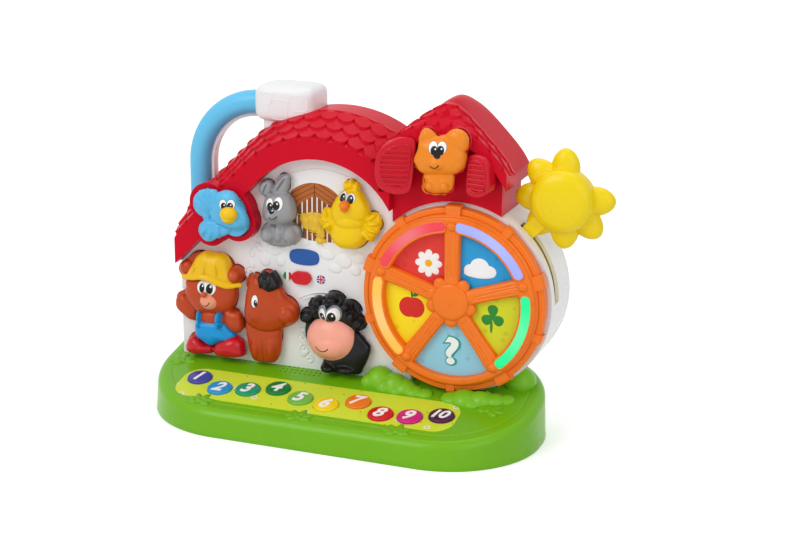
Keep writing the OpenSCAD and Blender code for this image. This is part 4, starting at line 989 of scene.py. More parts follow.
def arch_walk(radius, left, right, tail, bow):
    """Way along the roof for each radius: up the straight tail at 45 degrees from the left plane, then
    round the arch to the right plane; gives x, z and the outward direction as arrays of (radius, point)"""
    k = math.sqrt(0.5)
    radius = np.asarray(radius, float)[:, None]
    run = (ARCH_X - radius * k - left) / k
    s = run * (1 - np.linspace(0, 1, tail, endpoint=False))[None, :]
    last = np.arccos((right - ARCH_X) / radius)
    a = math.radians(135) + (last - math.radians(135)) * np.linspace(0, 1, bow)[None, :]
    x = np.concatenate([ARCH_X - radius * k - s * k, ARCH_X + radius * np.cos(a)], axis=1)
    z = np.concatenate([ARCH_Z + radius * k - s * k, ARCH_Z + radius * np.sin(a)], axis=1)
    out_x = np.concatenate([np.full_like(s, -k), np.cos(a)], axis=1)
    out_z = np.concatenate([np.full_like(s, k), np.sin(a)], axis=1)
    return x, z, out_x, out_z


def closed_band(top, under):
    """Closed skin from an upper and a lower sheet of (row, point): round through both, each end drawn to
    its middle"""
    loop = np.concatenate([top, under[::-1]], axis=0)
    ends = loop.mean(axis=0, keepdims=True)
    first = np.broadcast_to(ends[:, :1], (len(loop), 1, 3))
    last = np.broadcast_to(ends[:, -1:], (len(loop), 1, 3))
    loop = np.concatenate([first, loop, last], axis=1)
    return faced(loop, wrap_rows=True, wrap_cols=False)


def slab(top, low):
    """Closed skin from an upper sheet straight down to one height"""
    under = top.copy()
    under[..., 2] = low
    return closed_band(top, under)


def roof_tiles():
    """Tiles on the front half of the roof: the cone from the fascia to the seam raised by the scales"""
    rise, run, slope = 18, 40, 43.9
    share = np.linspace(0, 1, 76)
    radius, y = FASCIA_R + rise * share, FASCIA_Y + run * share
    x, z, out_x, out_z = arch_walk(radius, ROOF_LEFT, ROOF_RIGHT, 170, 250)
    step = np.hypot(np.diff(x.mean(0)), np.diff(z.mean(0)))
    u = np.concatenate([[0.0], np.cumsum(step)])[None, :]
    v = (slope * share)[:, None]
    h = scales(u, v, size("tile_width"), size("tile_step"), size("tile_rise"))
    fade = np.clip((slope - v) / 4.0, 0, 1) * np.clip(v / 0.8, 0.3, 1)
    lift = np.maximum(h, 0.0) * fade
    tilt = math.atan2(rise, run)

    def sheet(above):
        out, back = above * math.cos(tilt), above * math.sin(tilt)
        return points_at(x + out_x * out, y[:, None] - back, z + out_z * out)

    return closed_band(sheet(lift + 0.15), sheet(np.full_like(x, -0.9)))


def side_roof_skin():
    """Side roof: the soft minimum of two slopes, a front and a back hip and a steep right eave over the
    plan, with rows of tiles above the front edge that thin to nothing up the slope; the underside runs ten
    millimetres below"""
    y = np.linspace(SIDE_FRONT, SIDE_BACK, 120)[:, None]
    x = np.linspace(SIDE_LEFT, SIDE_RIGHT, 200)[None, :]
    left_slope = 275.2 + (x - 82.3) * math.tan(math.radians(40))
    right_slope = 274.3 - (x - 98.6) * math.tan(math.radians(46))
    front_hip, back_hip = 257.0 + (y - SIDE_FRONT) * 1.05, 274.0 + (SIDE_BACK - y) * 1.0
    right_eave = 226.0 + (SIDE_RIGHT - x) * 2.6
    sides = np.broadcast_arrays(left_slope, right_slope, front_hip, back_hip, right_eave)
    soft = 6.0
    top = -soft * np.log(sum(np.exp(-side / soft) for side in sides))
    up = (y - SIDE_FRONT) * 1.4
    tiles = np.maximum(scales(x * 1.35, up, size("tile_width"), 11.0, size("tile_rise")), 0.0)
    tiles = tiles * np.clip((34 - up) / 8.0, 0, 1)

    def sheet(height):
        return points_at(x, y, height)

    return closed_band(sheet(top + tiles), sheet(top - 10.0))


class FARM_OT_roofs(bpy.types.Operator):
    """Red roof halves with their rows of tiles, cut clear of the bird's border"""
    bl_idname = "farm.roofs"
    bl_label = "Roofs"

    def execute(self, context):
        red = plastic("roof_red", tone("roof"), gloss=0.3, coat=0.0, shine=0.06)
        paint(red, "roof_front", "roof_back", "side_house")
        tiles = loose("roof_tiles", roof_tiles())
        margin = size("bird_margin") - 0.4
        border = joined(drum(x, z, r + margin, -3.4, 30) for x, z, r in PLUGS["bird"])
        cut(tiles, on_wall(border, WALL_Y), voxel=0.8)
        finished(tiles, red, "case", crease=50)
        piece("side_roof_skin", side_roof_skin(), red, "case", ("side_roof",), crease=50)
        return {"FINISHED"}


# Chimney and handle

CAP_X, CAP_Y, CAP_Z = -63, 50, 260
CAP_A, CAP_B, CAP_C = 28, 21, 16
CAP_POWER = 0.42
BEND_X, BEND_Z, BEND_R = -93, 201.5, 56


def soft_block(x, y, z, a, b, c, power, around=160, rings=80):
    """Swollen block: a ball whose sines and cosines are raised to a power, which squares it off"""
    u = np.linspace(-math.pi / 2, math.pi / 2, rings)[:, None]
    v = circle(around)

    def bent(value):
        return np.sign(value) * np.abs(value) ** power

    flat = bent(np.cos(u))
    return faced(points_at(x + a * flat * bent(np.cos(v)), y + b * flat * bent(np.sin(v)),
                           z + c * bent(np.sin(u))))


def chimney_body():
    """Swollen cap on a squared stack"""
    return joined([soft_block(CAP_X, CAP_Y, CAP_Z, CAP_A, CAP_B, CAP_C, CAP_POWER),
                   soft_block(CAP_X, CAP_Y, CAP_Z - 20, 21.5, 15, 16, 0.3)])


def brick_lines():
    """Rounded brick outlines raised on the cap's front: closed loops that follow the swollen face"""
    t = np.linspace(0, 2 * math.pi, 90)
    c, s = (np.sign(value) * np.abs(value) ** 0.5 for value in (np.cos(t), np.sin(t)))
    power = 2 / CAP_POWER
    made = []
    for x, z, a, b in ((-78, 265, 6.0, 4.6), (-66, 256, 8.5, 8.5), (-48, 262, 8.0, 6.5)):
        at_x, at_z = x + a * c, z + b * s
        left = 1 - np.abs((at_x - CAP_X) / CAP_A) ** power - np.abs((at_z - CAP_Z) / CAP_C) ** power
        deep = CAP_B * np.maximum(0.02, left) ** (1 / power)
        made.append(tube(points_at(at_x, CAP_Y - deep + 0.25, at_z), 0.55, sides=8))
    return joined(made)


class FARM_OT_chimney(bpy.types.Operator):
    """White chimney with its brick outlines"""
    bl_idname = "farm.chimney"
    bl_label = "Chimney"

    def execute(self, context):
        white = plastic("chimney_white", tone("white"), gloss=0.3, spread=0.05)
        piece("chimney_body", chimney_body(), white, "case", ("chimney",), crease=50)
        piece("brick_lines", brick_lines(), white, "case")
        return {"FINISHED"}


def handle_half(front):
    """Half of the handle swept along its way: out from the chimney, round a quarter bend and down into the
    roof; the front half is round, the back half squared and a little wider inwards"""
    a = np.radians(np.linspace(90, 180, 60))
    bend = np.stack([BEND_X + BEND_R * np.cos(a), BEND_Z + BEND_R * np.sin(a)], axis=-1)
    top_z, left_x = BEND_Z + BEND_R, BEND_X - BEND_R
    path = np.concatenate([[[-80.0, top_z], [-86.0, top_z]], bend, [[left_x, 190.0], [left_x, 164.0]]])
    t = np.linspace(0, math.pi, 28)
    c, s = np.cos(t), np.sin(t)
    if front:
        section = np.stack([10 * c, 50 - 10.5 * s ** 0.85], axis=-1)
    else:
        section = np.stack([1.3 + 11.2 * np.sign(c) * np.abs(c) ** 0.4, 48.4 + 13.6 * s ** 0.5], axis=-1)
    return swept(path, section)


class FARM_OT_handle(bpy.types.Operator):
    """Carrying handle, blue in front and white behind"""
    bl_idname = "farm.handle"
    bl_label = "Handle"

    def execute(self, context):
        blue = plastic("handle_blue", tone("handle"))
        piece("handle_shell", handle_half(True), blue, "case", ("handle_front",), crease=60)
        white = plastic("handle_white", tone("white"), spread=0.05)
        piece("handle_liner", handle_half(False), white, "case", ("handle_back",), crease=60)
        return {"FINISHED"}


# Animals

RIM_Y = 4.0
PLUG_GAP = 0.35


def cushion(points, height, full=0.65, rim=RIM_Y):
    """A puff stood on the plane before the wall where an animal's rounded forms begin"""
    return on_wall(puff(points, height, full=full), rim)


def dome(x, z, a, b, height, turn=0.0, point=0.0, rim=RIM_Y):
    """Oval cushion on that plane"""
    return on_wall(pillow(x, z, a, b, height, turn, foot=0.6, point=point, around=64, rings=16), rim)


def animal_skin(animal, part, forms, material, relax=4, stands_for=()):
    """One skin of an animal: its forms fused and relaxed"""
    obj = loose(animal + "_" + part, joined(forms))
    fuse(obj, size("skin_voxel"), relax)
    finished(obj, material, animal, stands_for, crease=70)


def animal_body(animal, part, forms, material, relax, wall=WALL_Y, proud=4.6, deep=4.6):
    """Main skin of an animal: its forms with the plug of round columns that fills the wall's opening"""
    plug = joined(drum(x, z, r - PLUG_GAP, -deep, proud) for x, z, r in PLUGS[animal])
    animal_skin(animal, part, forms + [on_wall(plug, wall)], material, relax, (animal + "_button",))


class FARM_OT_bird(bpy.types.Operator):
    """Blue bird in the roof's border"""
    bl_idname = "farm.bird"
    bl_label = "Bird"

    def execute(self, context):
        rim = -9.6
        marks = eye(-96.4, 182.4, 3.2, 4.2, -95.6, 181.0, 2.1)
        marks += eye(-89.4, 182.8, 3.2, 4.2, -90.0, 181.4, 2.1)
        blue = plastic("bird_blue", tone("bird"), marks=marks)
        tail = [(-125, 182), (-124, 188), (-119.5, 191.5), (-113, 192.5), (-106, 192), (-104, 188),
                (-106, 182), (-110, 176), (-112, 169), (-115, 166), (-119.5, 168.5), (-124, 174)]
        head = [(-104.5, 190), (-98, 193), (-91, 192.5), (-86, 188.5), (-84, 182), (-80, 177.5), (-77, 171),
                (-78, 164), (-83, 160.5), (-89, 160), (-93, 161), (-101, 162.5), (-108, 166), (-111, 172),
                (-109.5, 179.5), (-106.5, 186)]
        wing = [(-122.5, 157), (-119.5, 163), (-113, 166), (-106, 164.5), (-99.5, 161.5), (-93.5, 159.5),
                (-97, 154.5), (-105.5, 151), (-110, 148), (-116, 147), (-120.5, 150.5)]
        forms = [cushion(tail, 3.0, rim=rim), cushion(head, 9.0, rim=rim), cushion(wing, 4.0, rim=rim)]
        tail_plumes = [(-119.2, 178.0, 137), (-117.2, 182.2, 118), (-112.8, 183.8, 98), (-108.2, 183.2, 78)]
        wing_plumes = [(-117.6, 156.0, 235), (-111.5, 154.0, 250), (-104.0, 156.5, 262)]
        forms += [dome(x, z, 9.6, 2.9, 5.2, turn, rim=rim) for x, z, turn in tail_plumes]
        forms += [dome(x, z, 6.0, 3.2, 6.0, turn, rim=rim) for x, z, turn in wing_plumes]
        forms.append(dome(-86.5, 167.5, 8.5, 7.0, 10.5, -20, rim=rim))
        animal_body("bird", "feathers", forms, blue, relax=2, proud=17.6, deep=0.5)
        beak = plastic("beak_yellow", tone("beak"))
        forms = [bead(-90.6, -19, 175.2, 7.8, 6.0, 7.0), bead(-90.8, -18.6, 171.4, 6.2, 4.4, 6.0)]
        animal_skin("bird", "beak", forms, beak, relax=2)
        return {"FINISHED"}


class FARM_OT_rabbit(bpy.types.Operator):
    """Grey rabbit"""
    bl_idname = "farm.rabbit"
    bl_label = "Rabbit"

    def execute(self, context):
        # painted shade: darker grey strokes along the two ear grooves
        dark = linear("66686B")
        marks = [oval(dark, -51.3, 199.6, 7.0, 1.1, 55), oval(dark, -65.6, 195.4, 4.6, 0.9, 68)]
        marks += eye(-58.9, 183.8, 3.3, 4.6, -58.3, 181.8, 2.3)
        marks += eye(-51.0, 184.6, 3.9, 5.4, -52.6, 183.2, 2.6)
        # the small white oval on the nose is a painted highlight
        marks += [oval(BLACK, -56.0, 178.1, 2.1, 1.8), oval(PAPER, -55.6, 178.8, 0.6, 0.4),
                  arc(BLACK, -54.8, 175.4, 3.3, 0.4, -86, 0.4)]
        grey = plastic("rabbit_grey", tone("rabbit"), gloss=0.22, coat=0.2, marks=marks)
        ear_r = [(-60, 192), (-57.5, 198), (-53.5, 204), (-48, 208.5), (-44.5, 208), (-44.5, 203),
                 (-45.5, 196.5), (-47.5, 192), (-53.5, 190)]
        ear_l = [(-72.5, 194), (-71.5, 198), (-68, 201), (-63.5, 202), (-60.5, 199.5), (-60.3, 195),
                 (-61.5, 191), (-64, 188), (-68, 188.5), (-71.5, 191)]
        head = [(-67.5, 181), (-66, 186.5), (-61, 190.5), (-53, 192.5), (-47, 192.5), (-42.5, 188.5),
                (-40, 182.5), (-39, 176), (-40.5, 170.5), (-46.5, 166.5), (-53, 165), (-60, 164.5),
                (-65.5, 166.5), (-68.3, 170.5), (-68.5, 176)]
        trunk = [(-71.5, 154), (-69.5, 159), (-64.5, 162.5), (-56.5, 163), (-48.5, 165.5), (-40.5, 165.5),
                 (-36.5, 163), (-35.5, 158), (-38, 152.5), (-43, 148), (-51, 145.7), (-59.5, 145.3),
                 (-65, 147), (-69, 149.5)]
        forms = [cushion(ear_r, 5.5), cushion(ear_l, 5.5), cushion(head, 12.0), cushion(trunk, 6.5)]
        forms += [dome(-57.5, 174.5, 9.2, 7.4, 15.5), dome(-63.5, 155.0, 7.6, 7.4, 11.0),
                  dome(-43.6, 157.0, 7.0, 8.6, 11.0, 10), dome(-53.5, 157.0, 5.5, 9.0, 9.5)]
        animal_body("rabbit", "fur", forms, grey, relax=3)
        return {"FINISHED"}


class FARM_OT_chick(bpy.types.Operator):
    """Yellow chick with its beak"""
    bl_idname = "farm.chick"
    bl_label = "Chick"

    def execute(self, context):
        marks = eye(6.4, 195.8, 3.3, 3.7, 6.4, 195.0, 2.2)
        marks += eye(13.5, 195.2, 3.8, 3.8, 13.2, 194.4, 2.4)
        down = plastic("chick_yellow", tone("chick"), marks=marks)
        head = [(-5.8, 177), (-6.5, 183.5), (-3.5, 190.5), (1, 197), (6, 199.5), (14, 201), (19, 200),
                (23, 194.5), (26, 188.5), (26.8, 182.5), (24.5, 176.5), (16.5, 172.8), (3.5, 171.5),
                (-3, 172)]
        belly = [(-4.3, 171.5), (-6.2, 167), (-7.2, 161), (-4.3, 154.5), (2, 150.7), (9, 150.5),
                 (15.5, 152), (21, 157), (23, 163.5), (21.7, 171), (19, 175.5), (7.5, 176)]
        wing_l = [(-16.5, 176), (-14.5, 181.5), (-10.5, 183.5), (-6.5, 182), (-5, 176.5), (-3.5, 171.5),
                  (-6, 166.5), (-9.5, 163.7), (-13, 165), (-15.8, 169.5)]
        wing_r = [(19.5, 173), (22.5, 177), (27.5, 181), (33.5, 183), (36, 180), (36.5, 174.5), (35, 168),
                  (30.5, 161.5), (22.5, 158), (19, 160.5), (18, 166.5)]
        forms = [cushion(head, 12.5), cushion(belly, 11.0), cushion(wing_l, 4.0), cushion(wing_r, 4.5)]
        forms += [dome(9.5, 174.0, 14.5, 9.0, 12.0), dome(6.6, 203.6, 3.0, 4.2, 6.0, 12),
                  dome(11.0, 204.6, 2.9, 4.6, 6.8), dome(15.4, 203.4, 2.9, 4.0, 6.0, -12)]
        plumes_l = [(-11.4, 178.8, 112), (-12.2, 173.4, 155), (-10.8, 168.0, 210)]
        plumes_r = [(28.2, 178.6, 35), (30.0, 174.0, 10), (28.8, 168.8, -18), (25.4, 163.4, -45)]
        forms += [dome(x, z, 5.0, 2.3, 6.5, turn) for x, z, turn in plumes_l]
        forms += [dome(x, z, 7.0, 2.6, 7.5, turn) for x, z, turn in plumes_r]
        animal_body("chick", "down", forms, down, relax=3)
        beak = plastic("beak_orange", tone("chick_beak"))
        forms = [bead(9.3, -8.5, 189.6, 4.5, 4.0, 6.2), bead(9.1, -8.2, 186.6, 3.6, 3.0, 5.2)]
        animal_skin("chick", "beak", forms, beak, relax=2)
        return {"FINISHED"}


class FARM_OT_bear(bpy.types.Operator):
    """Brown bear in a hard hat, dungarees and shoes"""
    bl_idname = "farm.bear"
    bl_label = "Bear"

    def execute(self, context):
        # the two small white ovals in the pupils are painted highlights
        marks = [oval(BLACK, -119.2, 104.6, 9.3, 7.5), oval(PAPER, -119.2, 104.6, 8.8, 7.0),
                 oval(BLACK, -123.4, 103.8, 2.5, 4.0), oval(BLACK, -116.2, 103.6, 3.3, 4.4),
                 oval(PAPER, -122.8, 105.8, 0.7, 1.0), oval(PAPER, -115.2, 105.8, 0.9, 1.2),
                 oval(tone("ear"), -95.0, 117.0, 4.4, 4.8)]
        fur = plastic("bear_brown", tone("bear"), marks=marks)
        head = [(-142.5, 102.5), (-141, 108), (-122, 114), (-95.5, 110.5), (-93.7, 105.5), (-94, 98.5),
                (-95.5, 92), (-100, 85), (-108.5, 81), (-117, 80.5), (-130, 79.5), (-136.5, 83),
                (-141.5, 90.5), (-143.5, 97)]
        arm_l = [(-153.5, 85), (-152, 91), (-147.5, 93.5), (-142.5, 91.5), (-138, 85.5), (-133.5, 80.5),
                 (-132, 74), (-135.5, 71), (-140.5, 71.5), (-147.5, 76), (-152.3, 80.3)]
        arm_r = [(-106, 84), (-98, 84), (-92, 83), (-89.8, 76.5), (-89.7, 68.5), (-92.5, 65), (-98, 65),
                 (-103, 68.5), (-107, 73)]
        forms = [cushion(head, 12.0), cushion(arm_l, 7.0), cushion(arm_r, 8.0),
                 dome(-141.8, 117.2, 7.4, 7.4, 6.0), dome(-95.6, 116.4, 7.0, 7.4, 12.0),
                 dome(-119, 75, 15, 9, 8.0)]
        animal_body("bear", "fur", forms, fur, relax=3)
        hat = plastic("hat_yellow", tone("hat"))
        shell = [(-141.5, 111), (-134.5, 123.5), (-129.5, 131), (-122, 135), (-116, 134), (-108, 134.5),
                 (-102.5, 131.5), (-100, 126), (-98.5, 120.5), (-95, 113), (-98, 109), (-104, 109.5),
                 (-110, 111), (-117, 113), (-124, 113.5), (-133.5, 111), (-140, 109.5)]
        brim = smooth_loop([(-141.5, 110.5), (-133.5, 111.5), (-124, 113.6), (-116, 112.8), (-108, 109.8),
                            (-100, 107.4), (-93, 108.5), (-93, 108.5)], 120)[:103]
        lip = np.column_stack([brim[:, 0], -8.5 + 7.0 * ((brim[:, 0] + 117) / 26) ** 2, brim[:, 1]])
        forms = [cushion(shell, 14.0, 0.55), tube(lip, 2.3, sides=14)]
        ridges = [(-130.0, 120.5, 9, 14.2, 62), (-119.5, 122.0, 11, 16.2, 86), (-109.0, 121.5, 11, 15.8, 100)]
        forms += [dome(x, z, a, 2.6, h, turn) for x, z, a, h, turn in ridges]
        animal_skin("bear", "hat", forms, hat, relax=3)
        pink = plastic("muzzle_pink", tone("muzzle"), marks=[arc(BLACK, -119.6, 94.6, 5.4, 0.42, -78, 0.46)])
        forms = [dome(-117.6, 92.2, 9.2, 7.8, 9.5, rim=-2.5), dome(-118.6, 96.5, 6.2, 5.0, 8.5, rim=-2.5)]
        animal_skin("bear", "muzzle", forms, pink)
        snout = plastic("nose_brown", tone("ear"))
        forms = [bead(-119.6, -11.0, 99.6, 3.0, 2.4, 2.6), bead(-119.6, -10.8, 98.8, 2.0, 2.2, 2.4)]
        animal_skin("bear", "nose", forms, snout, relax=1)
        blue = plastic("dungarees_blue", tone("dungarees"),
                       marks=[arc(linear("1A78B8"), -109.2, 70.6, 1.5, 0.4, 90, -0.7)])
        bib = [(-135, 63.5), (-134, 69.5), (-129.5, 72.5), (-115, 74), (-105.5, 72.5), (-101, 67.5),
               (-96.8, 63), (-98.5, 56.5), (-108.5, 55), (-116, 51), (-121.5, 50.2), (-127, 53),
               (-133.5, 57)]
        forms = [cushion(bib, 10.5), dome(-129.2, 75.5, 2.6, 8.5, 11.0, 3),
                 dome(-110.8, 76.0, 3.4, 8.5, 12.0, -3), dome(-109.2, 70.6, 3.0, 3.0, 14.0),
                 dome(-129.4, 69.0, 2.6, 2.8, 12.4)]
        animal_skin("bear", "dungarees", forms, blue, relax=2)
        red = plastic("shoes_red", tone("shoes"), gloss=0.2, coat=0.2)
        shoe_l = [(-144, 46.5), (-141.5, 53.5), (-136.5, 57), (-131, 56), (-126.5, 51.5), (-118.5, 50),
                  (-117, 46.5), (-119.5, 43), (-134, 41), (-141.5, 42)]
        shoe_r = [(-117, 48), (-114, 53), (-107, 58), (-100, 61), (-93, 60.5), (-89, 57), (-87.7, 50.5),
                  (-87.8, 45), (-96, 42.6), (-110, 41.8), (-115.5, 44)]
        animal_skin("bear", "shoes", [cushion(shoe_l, 11.0), cushion(shoe_r, 13.0)], red, relax=2)
        return {"FINISHED"}


class FARM_OT_horse(bpy.types.Operator):
    """Chestnut horse with a dark forelock"""
    bl_idname = "farm.horse"
    bl_label = "Horse"

    def execute(self, context):
        shadow = linear("96360E")
        marks = [arc(shadow, -66.0, 94.0, 23.0, 0.55, -80, 0.66), oval(shadow, -69.0, 52.0, 0.6, 12.0)]
        # the small white oval in the pupil is a painted highlight
        marks += [oval(BLACK, -73.9, 97.7, 3.5, 5.9, -8), oval(PAPER, -73.9, 97.7, 3.1, 5.5, -8),
                  oval(BLACK, -72.9, 96.0, 1.8, 3.0), oval(PAPER, -72.5, 97.4, 0.5, 0.7)]
        coat = plastic("horse_chestnut", tone("horse"), marks=marks)
        head = [(-86.4, 93.5), (-85.3, 101.5), (-83, 110.5), (-79.5, 116.3), (-74, 118.5), (-66, 118.5),
                (-53, 111), (-48.5, 103), (-43, 99.7), (-38.5, 96.3), (-37, 90), (-38.5, 82), (-43.5, 77.5),
                (-51.5, 73.5), (-61, 69.5), (-72, 68.7), (-80.5, 71.5), (-85.8, 77.5), (-87.3, 85.5)]
        neck = [(-86.4, 76), (-80.5, 78), (-67, 78), (-53, 75), (-53.3, 67), (-53.4, 60), (-55, 50.5),
                (-58, 44), (-63.5, 41), (-75.5, 40.6), (-80.5, 42.5), (-83.3, 50), (-85.2, 59), (-86.4, 68)]
        forms = [cushion(head, 12.0), cushion(neck, 7.5), dome(-78.2, 113.0, 3.8, 6.4, 9.0, -12),
                 dome(-46.8, 88.0, 9.2, 10.4, 14.0), dome(-73.0, 86.0, 11.5, 13.0, 12.5),
                 dome(-76.0, 55.0, 5.6, 14.0, 9.5), dome(-62.0, 55.0, 5.6, 14.0, 9.5)]
        animal_body("horse", "coat", forms, coat, relax=3)
        mane = plastic("forelock_black", tone("mane"), gloss=0.32)
        lock = [(-72, 119), (-68.5, 123), (-64.5, 119.5), (-60, 124), (-56.5, 122), (-52, 112.5),
                (-55.5, 109), (-61, 106), (-66, 108), (-71.5, 112)]
        forms = [cushion(lock, 13.5, 0.4), dome(-67.5, 114.5, 2.6, 7.5, 15.0, -12),
                 dome(-60.5, 115.5, 3.0, 8.0, 15.5, -20)]
        animal_skin("horse", "forelock", forms, mane, relax=2)
        return {"FINISHED"}


class FARM_OT_sheep(bpy.types.Operator):
    """Black sheep with a pink face"""
    bl_idname = "farm.sheep"
    bl_label = "Sheep"

    def execute(self, context):
        lid = linear("9A9CA0")
        marks = [oval(lid, -12.4, 93.2, 5.0, 7.2), oval(lid, -2.0, 94.4, 6.0, 7.2)]
        marks += eye(-12.4, 92.0, 4.3, 6.2, -12.2, 90.8, 2.7)
        marks += eye(-2.2, 93.4, 5.2, 6.4, -3.4, 92.0, 2.9)
        wool = plastic("wool_black", tone("wool"), gloss=0.3, marks=marks)
        trunk = [(12.5, 80), (23, 72.5), (27.8, 66.5), (26, 57), (21.5, 47.5), (18, 41.5), (7.5, 40.5),
                 (-8.5, 40.5), (-16.5, 42), (-16, 46.5), (-5, 72)]
        hair = [(-24.5, 99), (-21, 105.5), (-14, 106.5), (-10, 110), (-4, 111.3), (2, 110), (4.5, 106),
                (9.7, 104.5), (13.2, 100), (15.5, 92), (14, 82), (-3, 80), (-20, 84), (-26, 92)]
        ear_l = [(-36, 85.5), (-32.7, 90.2), (-26, 91), (-24, 86), (-28.5, 81.7), (-33.5, 81.7)]
        ear_r = [(12.5, 91), (20.5, 88.5), (20.8, 84), (18.5, 81.5), (12, 81)]
        forms = [cushion(trunk, 7.5), cushion(hair, 7.0), cushion(ear_l, 6.0), cushion(ear_r, 6.5),
                 dome(-6.5, 93.5, 11.5, 9.0, 13.0), dome(-9.0, 45.0, 7.5, 4.5, 13.0),
                 dome(7.0, 45.2, 9.5, 4.7, 12.0)]
        curls = [(-18.0, 101.5, 5.2, 5.2, 11.5), (-5.0, 106.0, 6.6, 5.0, 13.0), (7.0, 101.0, 5.6, 5.4, 12.0),
                 (-21.5, 93.5, 4.4, 5.4, 9.5), (12.0, 92.5, 4.6, 6.0, 10.5)]
        forms += [dome(x, z, a, b, h) for x, z, a, b, h in curls]
        animal_body("sheep", "wool", forms, wool, relax=2)
        pink = plastic("sheep_pink", tone("face"), marks=[arc(BLACK, -10.6, 69.6, 7.2, 0.45, -90, 0.52)])
        forms = [dome(-6.6, 70.6, 22.6, 20.0, 13.0, 5, rim=2.4),
                 dome(-6.0, 66.0, 18.0, 13.0, 15.0, 5, rim=2.4)]
        animal_skin("sheep", "face", forms, pink)
        return {"FINISHED"}


CAT_LOOP = [(73, 204), (85, 202.5), (97, 205), (98.5, 218), (105, 222), (108.5, 230), (108.5, 238),
            (111, 243), (111, 250.5), (106, 257), (97.5, 258), (91, 252.5), (84.5, 251), (80, 255.5),
            (73, 256.5), (68.5, 252), (67.5, 243), (64, 231), (66, 222), (72, 217)]
CAT_WALL_Y = 4.0
CAT_OUT, CAT_RIGHT, CAT_UP = 13.4, 0.404, 0.33
CAT_X, CAT_Z = CAT_RIGHT * CAT_OUT, CAT_UP * CAT_OUT


def cat_border():
    """Raised border behind the cat: a rounded strip carried round the outline, slanting forward, up and to
    the right"""
    edge = smooth_loop(CAT_LOOP[::-1], 180)
    way = np.roll(edge, -1, axis=0) - np.roll(edge, 1, axis=0)
    out = np.stack([way[:, 1], -way[:, 0]], axis=-1) / np.linalg.norm(way, axis=1, keepdims=True)
    section = np.array([(0.4, 5.0), (0.4, -8.6), (0.9, -9.4), (1.6, -9.7), (2.4, -9.4), (2.9, -8.6),
                        (2.9, 5.0)])
    flat = edge[None] + out[None] * section[:, :1, None]
    y = section[:, 1:2]
    grid = points_at(flat[..., 0] + CAT_RIGHT * (CAT_WALL_Y - y), y, flat[..., 1] + CAT_UP * (CAT_WALL_Y - y))
    return faced(grid, wrap_rows=True)


class FARM_OT_cat(bpy.types.Operator):
    """Orange cat in front of the side house, with the raised border round it"""
    bl_idname = "farm.cat"
    bl_label = "Cat"

    def execute(self, context):
        rim = 1.0 - CAT_OUT
        marks = eye(83.2 + CAT_X, 242.0 + CAT_Z, 3.6, 4.8, 84.4 + CAT_X, 239.8 + CAT_Z, 2.5)
        marks += eye(90.4 + CAT_X, 242.4 + CAT_Z, 3.6, 4.8, 89.4 + CAT_X, 240.2 + CAT_Z, 2.5)
        marks += [oval(BLACK, 86.9 + CAT_X, 236.0 + CAT_Z, 2.8, 2.5),
                  arc(BLACK, 84.8 + CAT_X, 230.4 + CAT_Z, 4.2, 0.42, -78, 0.45)]
        # the fur's darker flecks are painted shade in its grain
        fur = plastic("cat_orange", tone("cat"), marks=marks, ground=wood_grain)
        head = [(65, 230), (68, 238), (70.5, 245.5), (84, 249.5), (92, 251), (101, 244.5), (107.5, 238),
                (107, 229), (101.5, 222), (92.5, 220), (80, 219), (71, 220), (66.7, 225.5)]
        ear_l = [(69, 244), (70, 251), (73, 255), (78, 254.5), (83.5, 249), (78, 243)]
        ear_r = [(91, 251), (97.5, 256.5), (105, 255.3), (109.3, 250), (109.3, 242.5), (105.5, 239),
                 (99.5, 241), (95, 244)]
        trunk = [(73.5, 218.5), (74.3, 214), (73.3, 208), (78.5, 204.3), (86, 204.3), (94.7, 206.5),
                 (97.3, 210), (97.5, 220), (86, 223)]
        outlines = ((head, 10.5), (ear_l, 6.0), (ear_r, 7.5), (trunk, 6.0))
        rounds = [(85.8, 229.5, 10.5, 7.5, 13.0), (79.4, 210.0, 4.6, 5.6, 9.0), (91.4, 210.6, 4.6, 5.8, 9.0),
                  (70.5, 229.0, 5.0, 6.0, 7.5), (102.0, 229.5, 5.0, 6.0, 8.0)]
        forms = [cushion(np.array(points) + (CAT_X, CAT_Z), h, rim=rim) for points, h in outlines]
        forms += [dome(x + CAT_X, z + CAT_Z, a, b, h, rim=rim) for x, z, a, b, h in rounds]
        forms.append(on_wall(drum(86, 235, 11, -4.0, 16.6), CAT_WALL_Y))
        animal_body("cat", "fur", forms, fur, relax=3, wall=CAT_WALL_Y)
        piece("cat_border", cat_border(), plastic("border_red", tone("roof")), "case", crease=50)
        return {"FINISHED"}


# Wheel

def on_wheel(surface, y):
    """A surface of (x, z, height) about the wheel's axis, stood on the plane y"""
    p, f = surface
    return on_wall((p + np.array([WHEEL_X, WHEEL_Z, 0.0]), f), y)


def ring_band(inner, outer, low, high, soft, start=0.0, stop=360.0, around=240):
    """Ring or part of one: a rounded rectangle of (radius, height) carried round the axis"""
    a = np.linspace(0, math.pi / 2, 6)
    right = np.stack([outer - soft + soft * np.sin(a), high - soft + soft * np.cos(a)], -1)
    left = np.stack([inner + soft - soft * np.sin(a), high - soft + soft * np.cos(a)], -1)
    loop = np.vstack([left[::-1], right, [[outer, low], [inner, low]]])
    full = stop - start >= 360
    t = np.radians(np.linspace(start, stop, around, endpoint=not full))
    local = points_at(loop[:, None, 0] * np.cos(t), loop[:, None, 0] * np.sin(t), loop[:, None, 1])
    if not full:
        middle = np.broadcast_to(local.mean(0, keepdims=True), local.shape)
        local = np.concatenate([middle[:, :1], local, middle[:, -1:]], axis=1)
    return faced(local, wrap_rows=True, wrap_cols=full)


